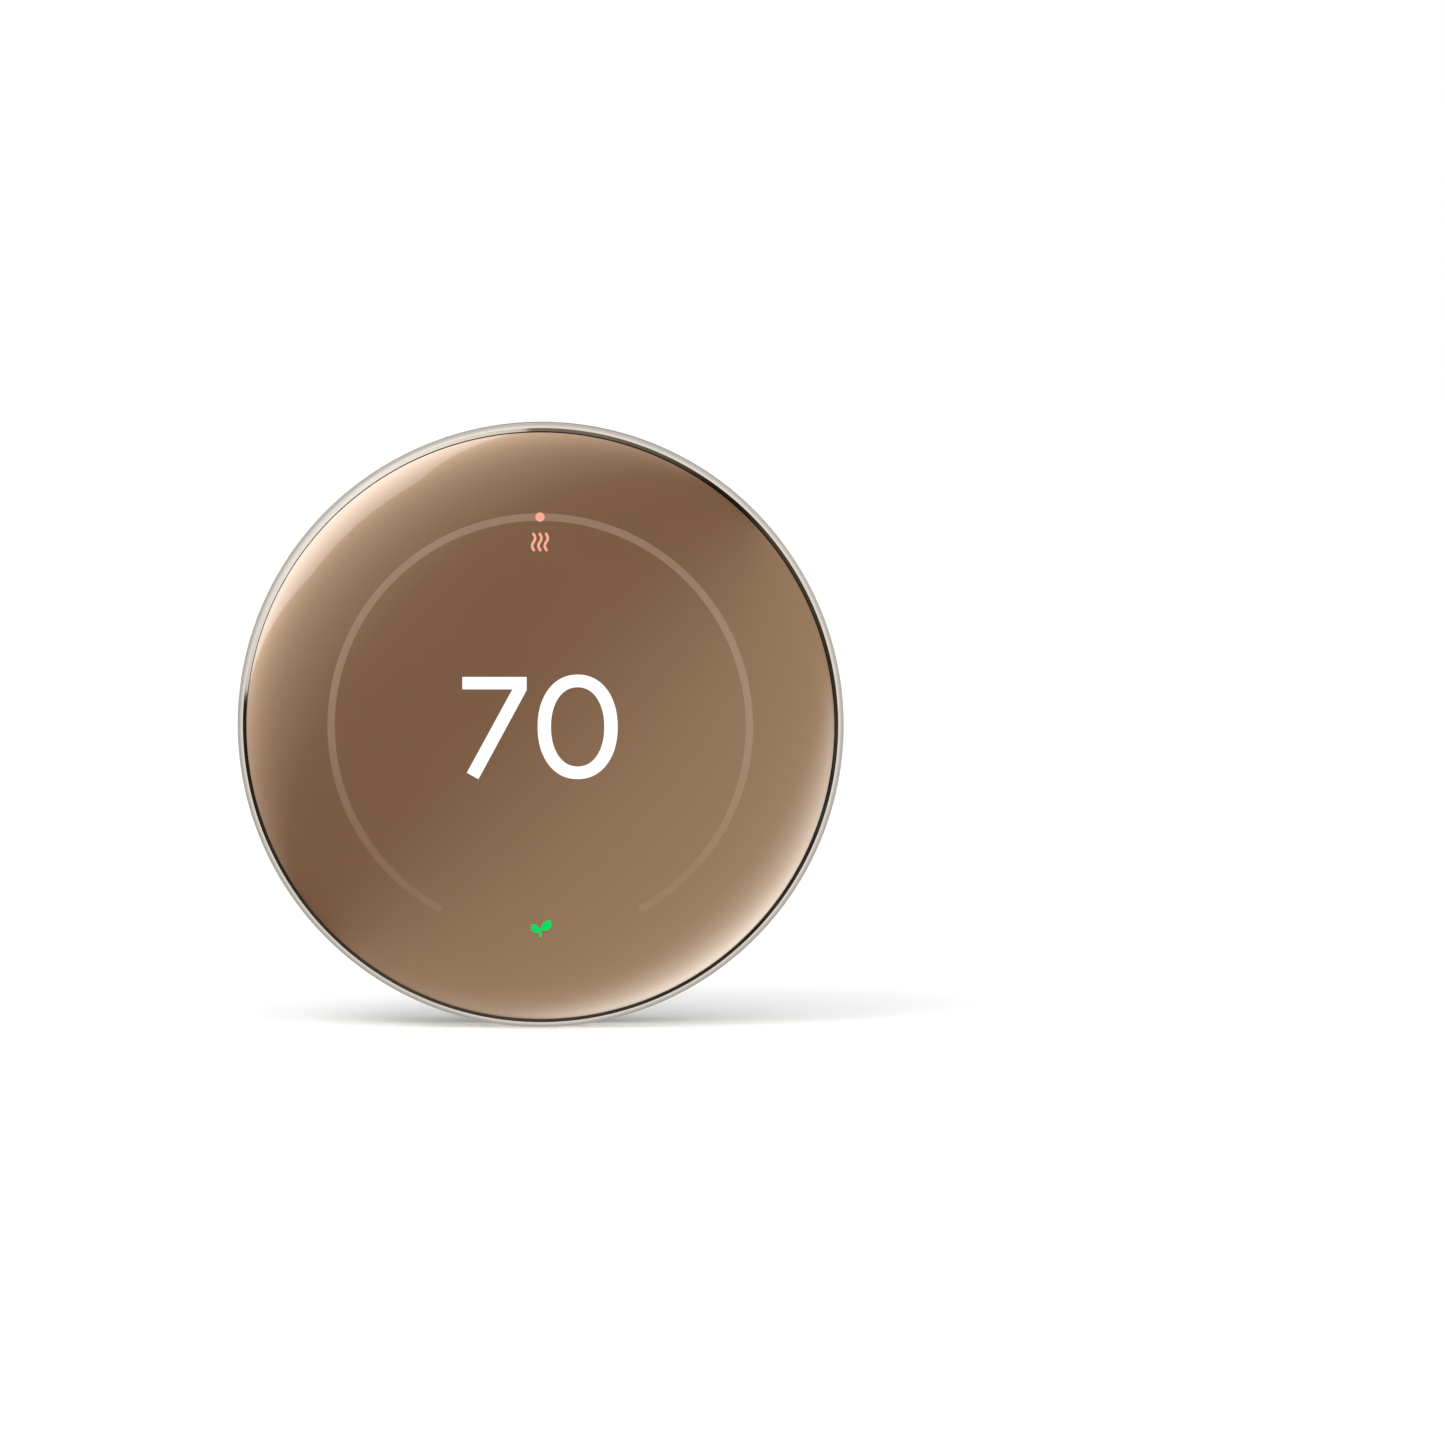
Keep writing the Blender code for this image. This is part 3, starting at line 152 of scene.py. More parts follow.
# %% Grid helper
def surface(name, points, body, material, loop_rows=False, loop_columns=False):
    """A mesh from a grid of points shaped (rows, columns, 3).

    Each cell of the grid is one face. A looped direction joins its last line to its
    first. Points that coincide are merged, which turns the cells at a pole into
    triangles, and every face is turned to point outwards.
    """
    rows, columns = points.shape[:2]
    index = np.arange(rows * columns).reshape(rows, columns)
    if loop_rows:
        index = np.vstack([index, index[:1]])
    if loop_columns:
        index = np.hstack([index, index[:, :1]])
    faces = np.stack([index[:-1, :-1], index[1:, :-1], index[1:, 1:], index[:-1, 1:]], -1)
    mesh = bpy.data.meshes.new(name)
    mesh.from_pydata(points.reshape(-1, 3).tolist(), [], faces.reshape(-1, 4).tolist())
    tidy_mesh(mesh)
    piece = bpy.data.objects.new(name, mesh)
    bpy.context.scene.collection.objects.link(piece)
    mesh.materials.append(material)
    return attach(piece, body)


def tidy_mesh(mesh, merge=1e-7, flatten=None, sharp=math.radians(32)):
    """Merges doubled points, turns the faces outwards and shades all but the edges smooth.

    With an angle to flatten, faces that lie within it of one plane are joined first.
    """
    work = bmesh.new()
    work.from_mesh(mesh)
    bmesh.ops.remove_doubles(work, verts=work.verts, dist=merge)
    if flatten:
        bmesh.ops.dissolve_limit(work, angle_limit=flatten, verts=work.verts, edges=work.edges)
    bmesh.ops.recalc_face_normals(work, faces=work.faces)
    work.to_mesh(mesh)
    work.free()
    mesh.shade_smooth()
    mesh.set_sharp_from_angle(angle=sharp)


# %% [markdown]
# Most pieces of a thermostat are turned. A turned surface is a profile, given as
# radius and distance from the wall, carried once round the axis.


# %% Turned surfaces
def turned(profile, steps):
    """Points of a profile carried round the wall's normal.

    profile is an array of (radius, distance out from the wall). With a as the angle
    from the top, the point is (r sin a, -out, r cos a).
    """
    angle = np.linspace(0, 2 * np.pi, steps, endpoint=False)
    radius, out = np.asarray(profile).T[..., None]
    x = radius * np.sin(angle)
    z = radius * np.cos(angle)
    return np.stack([x, np.broadcast_to(-out, x.shape), z], -1)


def arc(centre, radius, start, end, steps):
    """Points on a circle or ellipse in the profile's plane, between two angles in degrees."""
    angle = np.radians(np.linspace(start, end, steps))
    across, along = np.broadcast_to(radius, 2)
    return np.stack([centre[0] + across * np.cos(angle), centre[1] + along * np.sin(angle)], -1)


# %% [markdown]
# ## Finishes
#
# Every finish is one Principled shader with a few sockets set, and a pattern fed by
# the piece's own coordinates. A picture of the material could be wrapped on instead,
# but a pattern needs no unwrapping and stays sharp from any distance. A value that is
# the same all over stays on the socket itself.


# %% Shader helpers
def new_finish(name, colour, roughness, **sockets):
    """A material with its shader's plain sockets set; returns the material."""
    material = bpy.data.materials.new(name)
    material.use_nodes = True
    shader = material.node_tree.nodes["Principled BSDF"]
    shader.inputs["Base Color"].default_value = (*colour, 1)
    shader.inputs["Roughness"].default_value = roughness
    for socket, value in sockets.items():
        label = socket.replace("_", " ").title().replace("Ior", "IOR")
        shader.inputs[label].default_value = value
    return material


def add(tree, kind, settings=(), **inputs):
    """One node; inputs are numbers or other nodes' sockets, named by their labels."""
    node = tree.nodes.new(kind)
    for attribute, value in dict(settings).items():
        setattr(node, attribute, value)
    for label, value in inputs.items():
        socket = node.inputs[int(label[1:])] if label[0] == "_" else node.inputs[label]
        if isinstance(value, bpy.types.NodeSocket):
            tree.links.new(value, socket)
        else:
            socket.default_value = value
    return node


def object_place(tree):
    """The piece's own coordinates, in metres."""
    return add(tree, "ShaderNodeTexCoord").outputs["Object"]


def noise_of(tree, place, scale, detail):
    """A soft noise of that many cells a metre; returns its height, between 0 and 1."""
    return add(tree, "ShaderNodeTexNoise", Vector=place, Scale=scale, Detail=detail).outputs[0]


def range_of(tree, value, start, end, low, high, smooth=False):
    """Carries a value that runs from start to end over to low to high, and holds it outside."""
    kind = {"interpolation_type": "SMOOTHSTEP" if smooth else "LINEAR"}
    node = add(tree, "ShaderNodeMapRange", kind, Value=value)
    for label, number in zip(("From Min", "From Max", "To Min", "To Max"), (start, end, low, high)):
        node.inputs[label].default_value = number
    return node.outputs[0]


NOISE_LOW, NOISE_HIGH = 0.3, 0.7  # nearly all of a noise's heights lie between these


def mottle(material, spread, scale):
    """Varies the colour by a share, spread, with a soft noise of that many cells a metre."""
    tree = material.node_tree
    shader = tree.nodes["Principled BSDF"]
    colour = np.array(shader.inputs["Base Color"].default_value[:3])
    ramp = add(tree, "ShaderNodeValToRGB", Fac=noise_of(tree, object_place(tree), scale, 4.0))
    ramp.color_ramp.elements[0].position = NOISE_LOW
    ramp.color_ramp.elements[0].color = (*(colour * (1 - spread)), 1)
    ramp.color_ramp.elements[1].position = NOISE_HIGH
    ramp.color_ramp.elements[1].color = (*np.minimum(colour * (1 + spread), 1), 1)
    tree.links.new(ramp.outputs["Color"], shader.inputs["Base Color"])
    return material


def rough_up(material, height, depth):
    """Tilts the shading as if the surface rose and fell by that height times depth metres."""
    tree = material.node_tree
    bump = add(tree, "ShaderNodeBump", Height=height, Distance=depth)
    tree.links.new(bump.outputs["Normal"], tree.nodes["Principled BSDF"].inputs["Normal"])
    return material


def grain(material, scale, depth):
    """Moulded or cast texture: a noise read as height, depth metres deep."""
    tree = material.node_tree
    return rough_up(material, noise_of(tree, object_place(tree), scale, 3.0), depth)


def uneven_gloss(material, scale, low, high):
    """Roughness that wanders between low and high, as handled and moulded faces have."""
    tree = material.node_tree
    noise = noise_of(tree, object_place(tree), scale, 5.0)
    gloss = range_of(tree, noise, NOISE_LOW, NOISE_HIGH, low, high)
    tree.links.new(gloss, tree.nodes["Principled BSDF"].inputs["Roughness"])
    return material


# %% [markdown]
# ### Moulded plastics
#
# The base is a warm white moulding. The head's can is a near-black one: partly its own
# colour, and partly painted shade for the dark under the ring. Both have the fine
# matt texture that a spark-eroded mould leaves, about a tenth of a millimetre across.
# It is far too fine to model, so a noise tilts the shading instead, and two wider
# noises keep the colour and the gloss from being dead even.


# %% Plastics
def moulded(name, colour, roughness, texture=0.02 * MM):
    material = new_finish(name, colour, roughness, ior=1.5)
    mottle(material, 0.03, 90.0)
    uneven_gloss(material, 160.0, roughness - 0.06, roughness + 0.06)
    return grain(material, 9000.0, texture)


# near-black can: partly the moulding's own colour, partly painted shade for the dark under the ring
shell_plastic = moulded("shell_plastic", (0.035, 0.033, 0.031), 0.5)
base_plastic = moulded("base_plastic", (0.66, 0.65, 0.62), 0.45)
terminal_plastic = moulded("terminal_plastic", (0.38, 0.38, 0.37), 0.4)
tab_plastic = moulded("tab_plastic", (0.82, 0.82, 0.80), 0.35)
liner_plastic = moulded("liner_plastic", (0.012, 0.012, 0.012), 0.45)
bearing_plastic = moulded("bearing_plastic", (0.75, 0.74, 0.70), 0.3, 0.005 * MM)
chip_black = moulded("chip_black", (0.014, 0.014, 0.016), 0.42, 0.01 * MM)
print("plastics made")

# %% [markdown]
# ### Metals, boards and films
#
# Bright metal shows its making: the ring is turned, so its grain runs round the axis,
# and a stamped or plated part is only faintly uneven. The turned grain could be drawn
# as rings of a wave texture, but a noise of the radius gives grooves of uneven depth,
# as a real tool does.


# %% Metals
def turned_grain(material, across, depth):
    """Fine grooves left by turning.

    The height is a noise of the distance from the axis and the distance from the wall
    alone, so each groove runs the whole way round.
    """
    tree = material.node_tree
    parts = add(tree, "ShaderNodeSeparateXYZ", Vector=object_place(tree))
    flat = add(tree, "ShaderNodeCombineXYZ", X=parts.outputs["X"], Y=parts.outputs["Z"])
    radius = add(tree, "ShaderNodeVectorMath", {"operation": "LENGTH"}, _0=flat.outputs[0])
    groove = add(tree, "ShaderNodeCombineXYZ", X=radius.outputs["Value"], Y=parts.outputs["Y"])
    return rough_up(material, noise_of(tree, groove.outputs[0], across, 3.0), depth)


ring_metal = new_finish("ring_metal", (0.85, 0.78, 0.70), 0.12, metallic=1.0)
uneven_gloss(ring_metal, 120.0, 0.10, 0.15)
turned_grain(ring_metal, 14000.0, 0.002 * MM)

steel = new_finish("steel", (0.56, 0.55, 0.53), 0.3, metallic=1.0)
uneven_gloss(steel, 900.0, 0.22, 0.42)
tin_plate = new_finish("tin_plate", (0.66, 0.66, 0.64), 0.35, metallic=1.0)
uneven_gloss(tin_plate, 400.0, 0.25, 0.5)
grain(tin_plate, 500.0, 0.02 * MM)
print("metals made")

# %% [markdown]
# Inside are a lacquered board, a shrink-wrapped cell, a printed ribbon and a bubble in
# a tinted vial. They are seen only when the head is off or the vial catches the light,
# so each takes the plainest finish that still tells what it is made of.

# %% Board, cell and films
board_green = moulded("board_green", (0.012, 0.085, 0.045), 0.35, 0.004 * MM)
cell_wrap = new_finish("cell_wrap", (0.07, 0.08, 0.10), 0.3, ior=1.5)
grain(mottle(cell_wrap, 0.1, 60.0), 130.0, 0.1 * MM)
screen_glass = new_finish("screen_glass", (0.006, 0.006, 0.008), 0.08, ior=1.5)
uneven_gloss(screen_glass, 60.0, 0.05, 0.12)
diffuser_white = moulded("diffuser_white", (0.85, 0.85, 0.84), 0.3, 0.002 * MM)
flex_amber = new_finish("flex_amber", (0.35, 0.13, 0.02), 0.3, ior=1.6)
mottle(flex_amber, 0.12, 500.0)
foam_black = new_finish("foam_black", (0.010, 0.010, 0.010), 0.9)
grain(foam_black, 2500.0, 0.2 * MM)
vial_clear = new_finish("vial_clear", (0.80, 0.92, 0.35), 0.05, ior=1.49, transmission_weight=0.9)
mottle(vial_clear, 0.05, 80.0)
bubble_clear = new_finish("bubble_clear", (0.95, 1.0, 0.85), 0.02, ior=1.0, transmission_weight=0.9)
mottle(bubble_clear, 0.03, 80.0)
print(len(bpy.data.materials), "finishes so far")

# %% [markdown]
# ### Dress the frame
#
# The record says which material slot each piece takes, and the imported pieces carry
# that slot's name, so one table of finishes dresses the whole frame.

# %% Hand out the finishes
FINISHES = {
    "ring_metal": ring_metal,
    "shell_plastic": shell_plastic,
    "base_plastic": base_plastic,
    "terminal_plastic": terminal_plastic,
    "tab_plastic": tab_plastic,
    "liner_plastic": liner_plastic,
    "bearing_plastic": bearing_plastic,
    "board": board_green,
    "chip": chip_black,
    "steel": steel,
    "tin_plate": tin_plate,
    "cell_wrap": cell_wrap,
    "screen": screen_glass,
    "diffuser": diffuser_white,
    "flex": flex_amber,
    "foam": foam_black,
    "clear": vial_clear,
    "bubble": bubble_clear,
}
for part in frame["record"]["subparts"]:
    finish = FINISHES.get(part["material_slot"])
    if finish:
        nodes[part["node"]].data.materials[0] = finish

# %% [markdown]
# The frame's pieces are made of flat facets with knife edges, and no moulding or
# stamping has those. Each one is welded, its flat areas are joined into whole faces,
# and a narrow round is run along every edge. A shader can fake such a round, but a
# Bevel makes it in the mesh. The frame's own mesh stays as it is: the work is done on
# a copy, which takes its place.


# %% Eased copies of the frame's pieces
def eased(node, width):
    """A welded, smooth-shaded copy of a frame piece, with a round along its edges."""
    copy = nodes[node].data.copy()
    copy.name = f"eased_{node}"
    tidy_mesh(copy, merge=0.001 * MM, flatten=math.radians(0.5))
    piece = bpy.data.objects.new(copy.name, copy)
    bpy.context.scene.collection.objects.link(piece)
    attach(piece, body_of(nodes[node])[0])
    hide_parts(node)
    edges = piece.modifiers.new("eased edges", "BEVEL")
    edges.width = width
    edges.segments = 2
    edges.limit_method = "ANGLE"
    edges.angle_limit = math.radians(40)
    edges.harden_normals = True
    return piece


made_again = {"cover_glass", "dial_ring"}
thin_pieces = {"display_flex", "level_bubble", "level_vial", "shield_can"}  # thinner than a round
springs = {node for node in nodes if node.startswith("return_spring")}
shells = {"wall_plate", "base_deck", "head_can"}
SHELL_ROUND = 0.2 * MM
SMALL_ROUND = 0.08 * MM
for node in sorted(set(nodes) - made_again - thin_pieces - springs):
    eased(node, SHELL_ROUND if node in shells else SMALL_ROUND)

# %% [markdown]
# ## The domed glass
#
# The glass is a mirror-coated lens: a thin bronze film under a polished front. It is
# the first thing anyone sees, and a reflection shows every facet, so it is made again
# as a smooth ellipse of revolution with a ground edge. Real thin-film glass would need
# light traced through it. A tinted, slightly blurred gloss under a sharp clear coat
# mirrors the room in the same two ways, and does so from every side.

# %% Glass finish
glass_bronze = new_finish(
    "glass_bronze", (0.110, 0.048, 0.0253), 0.3,
    ior=2.06, specular_tint=(1.0, 0.75, 0.5, 1.0),
    coat_weight=1.0, coat_roughness=0.0, coat_ior=1.5,
)
uneven_gloss(glass_bronze, 25.0, 0.29, 0.31)
# near-black colour of the inner lip: painted shade for the dark gap between the glass and the ring;
# its gloss still mirrors the softbox
gap_shade_black = new_finish(
    "gap_shade_black", (0.008, 0.005, 0.003), 0.1, ior=2.5, specular_tint=(1.0, 0.84, 0.66, 1.0)
)
uneven_gloss(gap_shade_black, 200.0, 0.08, 0.12)
print(glass_bronze.name, "and", gap_shade_black.name)

# %% Glass surface
LIT_PROUD = 0.03 * MM  # how far a lit sign stands over the glass
GROUND_EDGE = 0.7 * MM
EDGE_BEVEL = 0.35 * MM
RIM_REACH = 1.0095  # the ellipse's width over the glass's, so that the rim ends crisply
DOME_ROWS, DOME_STEPS = 72, 256
dome_start = glass_back + GROUND_EDGE
rim_turn = math.acos(1 / RIM_REACH)
dome_radius = GLASS_RADIUS * RIM_REACH
dome_rise = (glass_top - LIT_PROUD - dome_start) / (1 - math.sin(rim_turn))
dome_centre = dome_start - dome_rise * math.sin(rim_turn)


def dome_height(x, z):
    """The dome's distance from the wall: centre + rise root(1 - (r / radius) squared)."""
    return dome_centre + dome_rise * np.sqrt(1 - (x**2 + z**2) / dome_radius**2)


front = arc((0, dome_centre), (dome_radius, dome_rise), 90, math.degrees(rim_turn), DOME_ROWS)
ground = np.array([
    (GLASS_RADIUS, glass_back + EDGE_BEVEL),
    (GLASS_RADIUS - EDGE_BEVEL, glass_back),
    (0.0, glass_back),
])
dome_points = turned(np.vstack([front, ground]), DOME_STEPS)
dome = surface("glass_dome", dome_points, "face", glass_bronze, loop_columns=True)
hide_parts("cover_glass")
print("glass:", len(dome.data.polygons), "faces")

# %% [markdown]
# ## The turned ring
#
# The ring is machined from tube. A black inner lip stands beside the glass. Its black
# colour is painted shade for the dark gap between the glass and the ring, and only its
# gloss mirrors the room. From the lip the front falls away outwards, at 45 degrees at
# first and ever more steeply, and rolls into the side; inside, a short wall runs back
# behind the lip. A bevel on a cylinder would give one even slope. The real front
# mirrors a band of room that narrows, and only a slope that steepens does that, so the
# profile is summed step by step.

# %% Ring surface
LIP_RADIUS = GLASS_RADIUS + 0.66 * MM  # where the lip meets the ring's bright front
LIP_TILT = 39  # degrees off the face
LIP_GAP = 0.11 * MM  # between the glass and the lip, seen as a thin dark line
LIP_FLAT = 0.04 * MM
LIP_BELOW_FRONT = 0.06 * MM
LIP_LAP = 0.01 * MM  # the lip runs this far short of the ring's inner wall
FRONT_FALL = 0.9 * MM  # of the sloping front, before it rolls into the side
SLOPE_START = 44  # degrees off the face
SLOPE_END = 58
SLOPE_STEPS = 11
EDGE_ROUND = 0.35 * MM
LIP_DEPTH = 1.3 * MM
RING_WALL = 1.0 * MM
BACK_EDGE = 0.2 * MM
RING_TAPER = 0.15 * MM
RING_STEPS, LIP_STEPS = 360, 256
lip_inside = GLASS_RADIUS + LIP_GAP
lip_top = ring_front - LIP_BELOW_FRONT
slope_top = lip_top - (LIP_RADIUS - lip_inside - LIP_FLAT) * math.tan(math.radians(LIP_TILT))
tilt = np.radians(np.linspace(SLOPE_START, SLOPE_END, SLOPE_STEPS + 1))
middle_tilt = (tilt[1:] + tilt[:-1]) / 2
fall = np.linspace(0, FRONT_FALL, SLOPE_STEPS + 1)
across = np.concatenate([[0], np.cumsum(FRONT_FALL / SLOPE_STEPS / np.tan(middle_tilt))])
slope = np.stack([LIP_RADIUS + across, slope_top - fall], -1)
# the roll leaves the slope at its last tilt and ends along the side
turn = np.radians(np.linspace(90 - SLOPE_END, 0, 8))
share = (np.cos(turn) - np.cos(turn[0])) / (1 - np.cos(turn[0]))
drop = 1 - np.sin(turn) / np.sin(turn[0])
slope_end = slope[-1]
roll = np.stack(
    [slope_end[0] + (RING_RADIUS - slope_end[0]) * share, slope_end[1] - EDGE_ROUND * drop], -1
)
back_radius = RING_RADIUS - RING_TAPER
back = arc((back_radius - BACK_EDGE, ring_back + BACK_EDGE), BACK_EDGE, 0, -90, 6)
inside_wall = np.array([
    (RING_RADIUS - RING_WALL, ring_back),
    (RING_RADIUS - RING_WALL, ring_front - LIP_DEPTH),
    (LIP_RADIUS, ring_front - LIP_DEPTH),
])
ring_points = turned(np.vstack([slope, roll[1:], back, inside_wall]), RING_STEPS)
ring = surface(
    "turned_ring", ring_points, "ring", ring_metal, loop_rows=True, loop_columns=True
)
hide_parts("dial_ring")
# the lip's slope mirrors the softbox at the upper left, and dark room everywhere else; its
# near-black colour is painted shade for the gap beside the glass
lip = np.array([
    (LIP_RADIUS - LIP_LAP, slope_top + LIP_LAP / 2),
    (lip_inside + LIP_FLAT, lip_top),
    (lip_inside, lip_top - 0.75 * LIP_FLAT),
    (lip_inside, ring_front - LIP_DEPTH),
    (LIP_RADIUS - LIP_LAP, ring_front - LIP_DEPTH),
])
inner_lip = surface(
    "inner_lip", turned(lip, LIP_STEPS), "ring", gap_shade_black, loop_rows=True, loop_columns=True
)
print("ring:", len(ring.data.polygons), "faces")

# %% [markdown]
# ## Return springs
#
# Three coils push the face out after a press. A coil is a wire carried along a helix;
# its end turns lie flat, as a spring's do. When the face is pressed the coils shorten.
# Here each coil is fixed to the head.


# %% Coils
def wire(name, path, radius, body, material, sides=12):
    """A round wire along a path, closed by a flat disc at each end.

    With side as the path's direction crossed with Y, and up as side crossed with the
    direction, a point of the wire is path + radius (cos a side + sin a up).
    """
    along = np.gradient(path, axis=0)
    along /= np.linalg.norm(along, axis=1, keepdims=True)
    side = np.cross(along, (0.0, 1.0, 0.0))
    side /= np.linalg.norm(side, axis=1, keepdims=True)
    up = np.cross(side, along)
    angle = np.linspace(0, 2 * np.pi, sides, endpoint=False)[:, None]
    ring_about = radius * (np.cos(angle) * side[:, None] + np.sin(angle) * up[:, None])
    first, last = (np.broadcast_to(end, (1, sides, 3)) for end in (path[0], path[-1]))
    points = np.concatenate([first, path[:, None] + ring_about, last])
    return surface(name, points, body, material, loop_columns=True)


SPRING_WIRE = 0.44 * MM
SPRING_TURNS = 4
STEPS_A_TURN = 24
END_TURN = 0.12  # share of the wire that lies flat at each end
for node in sorted(springs):
    low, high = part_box(node)
    coil_radius = (high.x - low.x - SPRING_WIRE) / 2
    share = np.linspace(0, 1, STEPS_A_TURN * SPRING_TURNS + 1)
    rise = np.clip((share - END_TURN) / (1 - 2 * END_TURN), 0, 1)
    angle = 2 * np.pi * SPRING_TURNS * share
    path = np.stack([
        (low.x + high.x) / 2 + coil_radius * np.sin(angle),
        high.y - SPRING_WIRE / 2 - (high.y - low.y - SPRING_WIRE) * rise,
        (low.z + high.z) / 2 + coil_radius * np.cos(angle),
    ], -1)
    coil = wire(f"coiled_{node}", path, SPRING_WIRE / 2, "head", steel)
    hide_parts(node)
    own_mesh(coil)
print(len(springs), "springs coiled")

# %% [markdown]
# ## Lit signs
#
# Under the glass a round display lights a scale, a temperature and two small signs.
# They could be painted into the glass's shader, but strokes that are pieces of their
# own stay crisp and can be changed one at a time. Each stroke is a thin band with a
# top and a bottom, carried along a path and laid on the dome, so it curves as the
# glass does and stays a closed solid.


# %% Light
def lit(name, colour, strength=1.0):
    """A glowing film. The base is black, so that only its own light shows."""
    return new_finish(
        name, (0, 0, 0), 1.0, specular_ior_level=0.0,
        emission_color=(*colour, 1), emission_strength=strength,
    )


WHITE_LIGHT = lit("lit_white", (1.0, 1.0, 1.0), 1.1)
SALMON_LIGHT = lit("lit_salmon", (1.0, 0.43, 0.30))
GREEN_LIGHT = lit("lit_green", (0.001, 0.73, 0.127))
SCALE_LIGHT = lit("lit_scale", (1.0, 0.79, 0.63), 1.18)
# the scale fades towards its two ends, which hang low on the face
tree = SCALE_LIGHT.node_tree
up_the_face = add(tree, "ShaderNodeSeparateXYZ", Vector=object_place(tree)).outputs["Z"]
fade = range_of(tree, up_the_face, -26 * MM, 3 * MM, 0.017, 0.051)
tree.links.new(fade, tree.nodes["Principled BSDF"].inputs["Alpha"])


# %% Film helpers
def film(name, left, right, material, closed=False):
    """A thin band on the dome between two edges, given as (x, z) points in metres.

    Each row of the grid runs straight from the left edge to the right one and back
    again a little lower, so the band has a top and a bottom. The height of every
    point is the dome's height there, plus the film's own.
    """
    across = np.linspace(0, 1, 5)[:, None]
    flat = left[:, None] * (1 - across) + right[:, None] * across
    x, z = flat[..., 0], flat[..., 1]
    height = dome_height(x, z)
    top = np.stack([x, -height - LIT_PROUD, z], -1)
    bottom = np.stack([x, -height - LIT_PROUD / 3, z], -1)[:, ::-1]
    section = np.concatenate([top, bottom], 1)
    return surface(name, section, "face", material, loop_rows=closed, loop_columns=True)


def ribbon(name, path, width, material):
    """A stroke: at each point of the path, half the width either side of it.

    The edges lie along the mean of the normals before and after the point. Where the
    width falls to nothing the band closes to a point.
    """
    path = np.asarray(path, float)
    before = np.vstack([2 * path[0] - path[1], path[:-1]])
    after = np.vstack([path[1:], 2 * path[-1] - path[-2]])
    across = side_of(path - before) + side_of(after - path)
    across /= np.linalg.norm(across, axis=1, keepdims=True)
    half = np.broadcast_to(width, len(path))[:, None] / 2
    return film(name, path + across * half, path - across * half, material)


def side_of(step):
    """The unit normal on the left of each step of a path."""
    length = np.linalg.norm(step, axis=1, keepdims=True)
    return np.stack([-step[:, 1], step[:, 0]], -1) / length


def round_ends(path, width):
    """The stroke's width, drawn in at each end as a half circle."""
    path = np.asarray(path, float)
    along = np.concatenate([[0], np.cumsum(np.linalg.norm(np.diff(path, axis=0), axis=1))])
    from_end = np.minimum(along, along[-1] - along)
    short = np.clip(1 - from_end / (width / 2), 0, 1)
    return width * np.sqrt(1 - short**2)


# %% Temperature
SIGNS_ASIDE, SIGNS_UP = 0.03, 0.24  # mm from the ring's middle to the middle of the signs


def to_metres(points):
    """Display millimetres, from the middle of the signs, as metres on the face."""
    return (np.asarray(points, float) + (SIGNS_ASIDE, SIGNS_UP)) * MM


def even_steps(points, count):
    """The same path with each straight stretch cut into count equal steps."""
    share = np.linspace(0, 1, count, endpoint=False)[:, None]
    stretches = points[:-1, None] * (1 - share) + points[1:, None] * share
    return np.vstack([stretches.reshape(-1, 2), points[-1:]])


outer = to_metres([(-12.5, 8.0), (-2.15, 8.0), (-2.15, 5.9), (-9.95, -8.5)])
inner_edge = to_metres([(-12.5, 6.0), (-4.45, 6.0), (-4.45, 6.0), (-11.8, -7.45)])
STRETCH_STEPS = 12
film(
    "digit_seven", even_steps(outer, STRETCH_STEPS), even_steps(inner_edge, STRETCH_STEPS),
    WHITE_LIGHT,
)


def superellipse(centre, half_width, half_height, power, steps=96):
    """A rounded oval: |x/a| to a power plus |z/b| to that power is one."""
    angle = np.linspace(0, 2 * np.pi, steps, endpoint=False)
    c, s = np.cos(angle), np.sin(angle)
    x = centre[0] + half_width * np.sign(c) * np.abs(c) ** (2 / power)
    z = centre[1] + half_height * np.sign(s) * np.abs(s) ** (2 / power)
    return np.stack([x, z], -1)


ZERO_CENTRE = (6.05, -0.05)
oval = to_metres(superellipse(ZERO_CENTRE, 6.44, 8.43, 2.15))
hole = to_metres(superellipse(ZERO_CENTRE, 4.29, 6.40, 2.15))
film("digit_zero", oval, hole, WHITE_LIGHT, closed=True)

# %% [markdown]
# Round the edge of the display runs the scale, a faint arc with a lit dot where the
# target stands. Over the number three small waves say that the heating is on, and a
# green sprout below says that the setting is a thrifty one.

# %% Scale, dot, waves and sprout
SCALE_RADIUS = 33.7
SCALE_HALF_SWEEP = 152  # degrees from the top
SCALE_STROKE = 1.2 * MM
DOT_DIAMETER = 1.48
sweep = np.radians(np.linspace(-SCALE_HALF_SWEEP, SCALE_HALF_SWEEP, 301))
scale_path = to_metres(SCALE_RADIUS * np.stack([np.sin(sweep), np.cos(sweep)], -1))
ribbon("lit_scale", scale_path, round_ends(scale_path, SCALE_STROKE), SCALE_LIGHT)


def disc_path(centre, diameter, steps=24):
    """A disc as a ribbon: a short straight path whose width follows the circle."""
    angle = np.linspace(0, np.pi, steps)
    across = centre[0] - diameter / 2 * np.cos(angle)
    path = to_metres(np.stack([across, np.full(steps, centre[1])], -1))
    return path, diameter * MM * np.sin(angle)


dot_path, dot_width = disc_path((0.0, SCALE_RADIUS), DOT_DIAMETER)
ribbon("lit_dot", dot_path, dot_width, SALMON_LIGHT)

WAVE_HALF_HEIGHT = 1.5
WAVE_SWAY = 0.24
WAVE_GAP = 1.02
WAVE_STROKE = 0.42 * MM
WAVES_ABOVE = 29.7
rise = np.linspace(-1, 1, 40)
sway = WAVE_SWAY * np.sin(rise * 1.2 * np.pi)
for number, offset in enumerate((-WAVE_GAP, 0.0, WAVE_GAP), 1):
    wave = to_metres(np.stack([offset + sway, WAVES_ABOVE + WAVE_HALF_HEIGHT * rise], -1))
    ribbon(f"heat_wave_{number}", wave, round_ends(wave, WAVE_STROKE), SALMON_LIGHT)

# %% Sprout
SPROUT = np.array([0.0, -32.6])
STEM_STROKE = 0.36 * MM


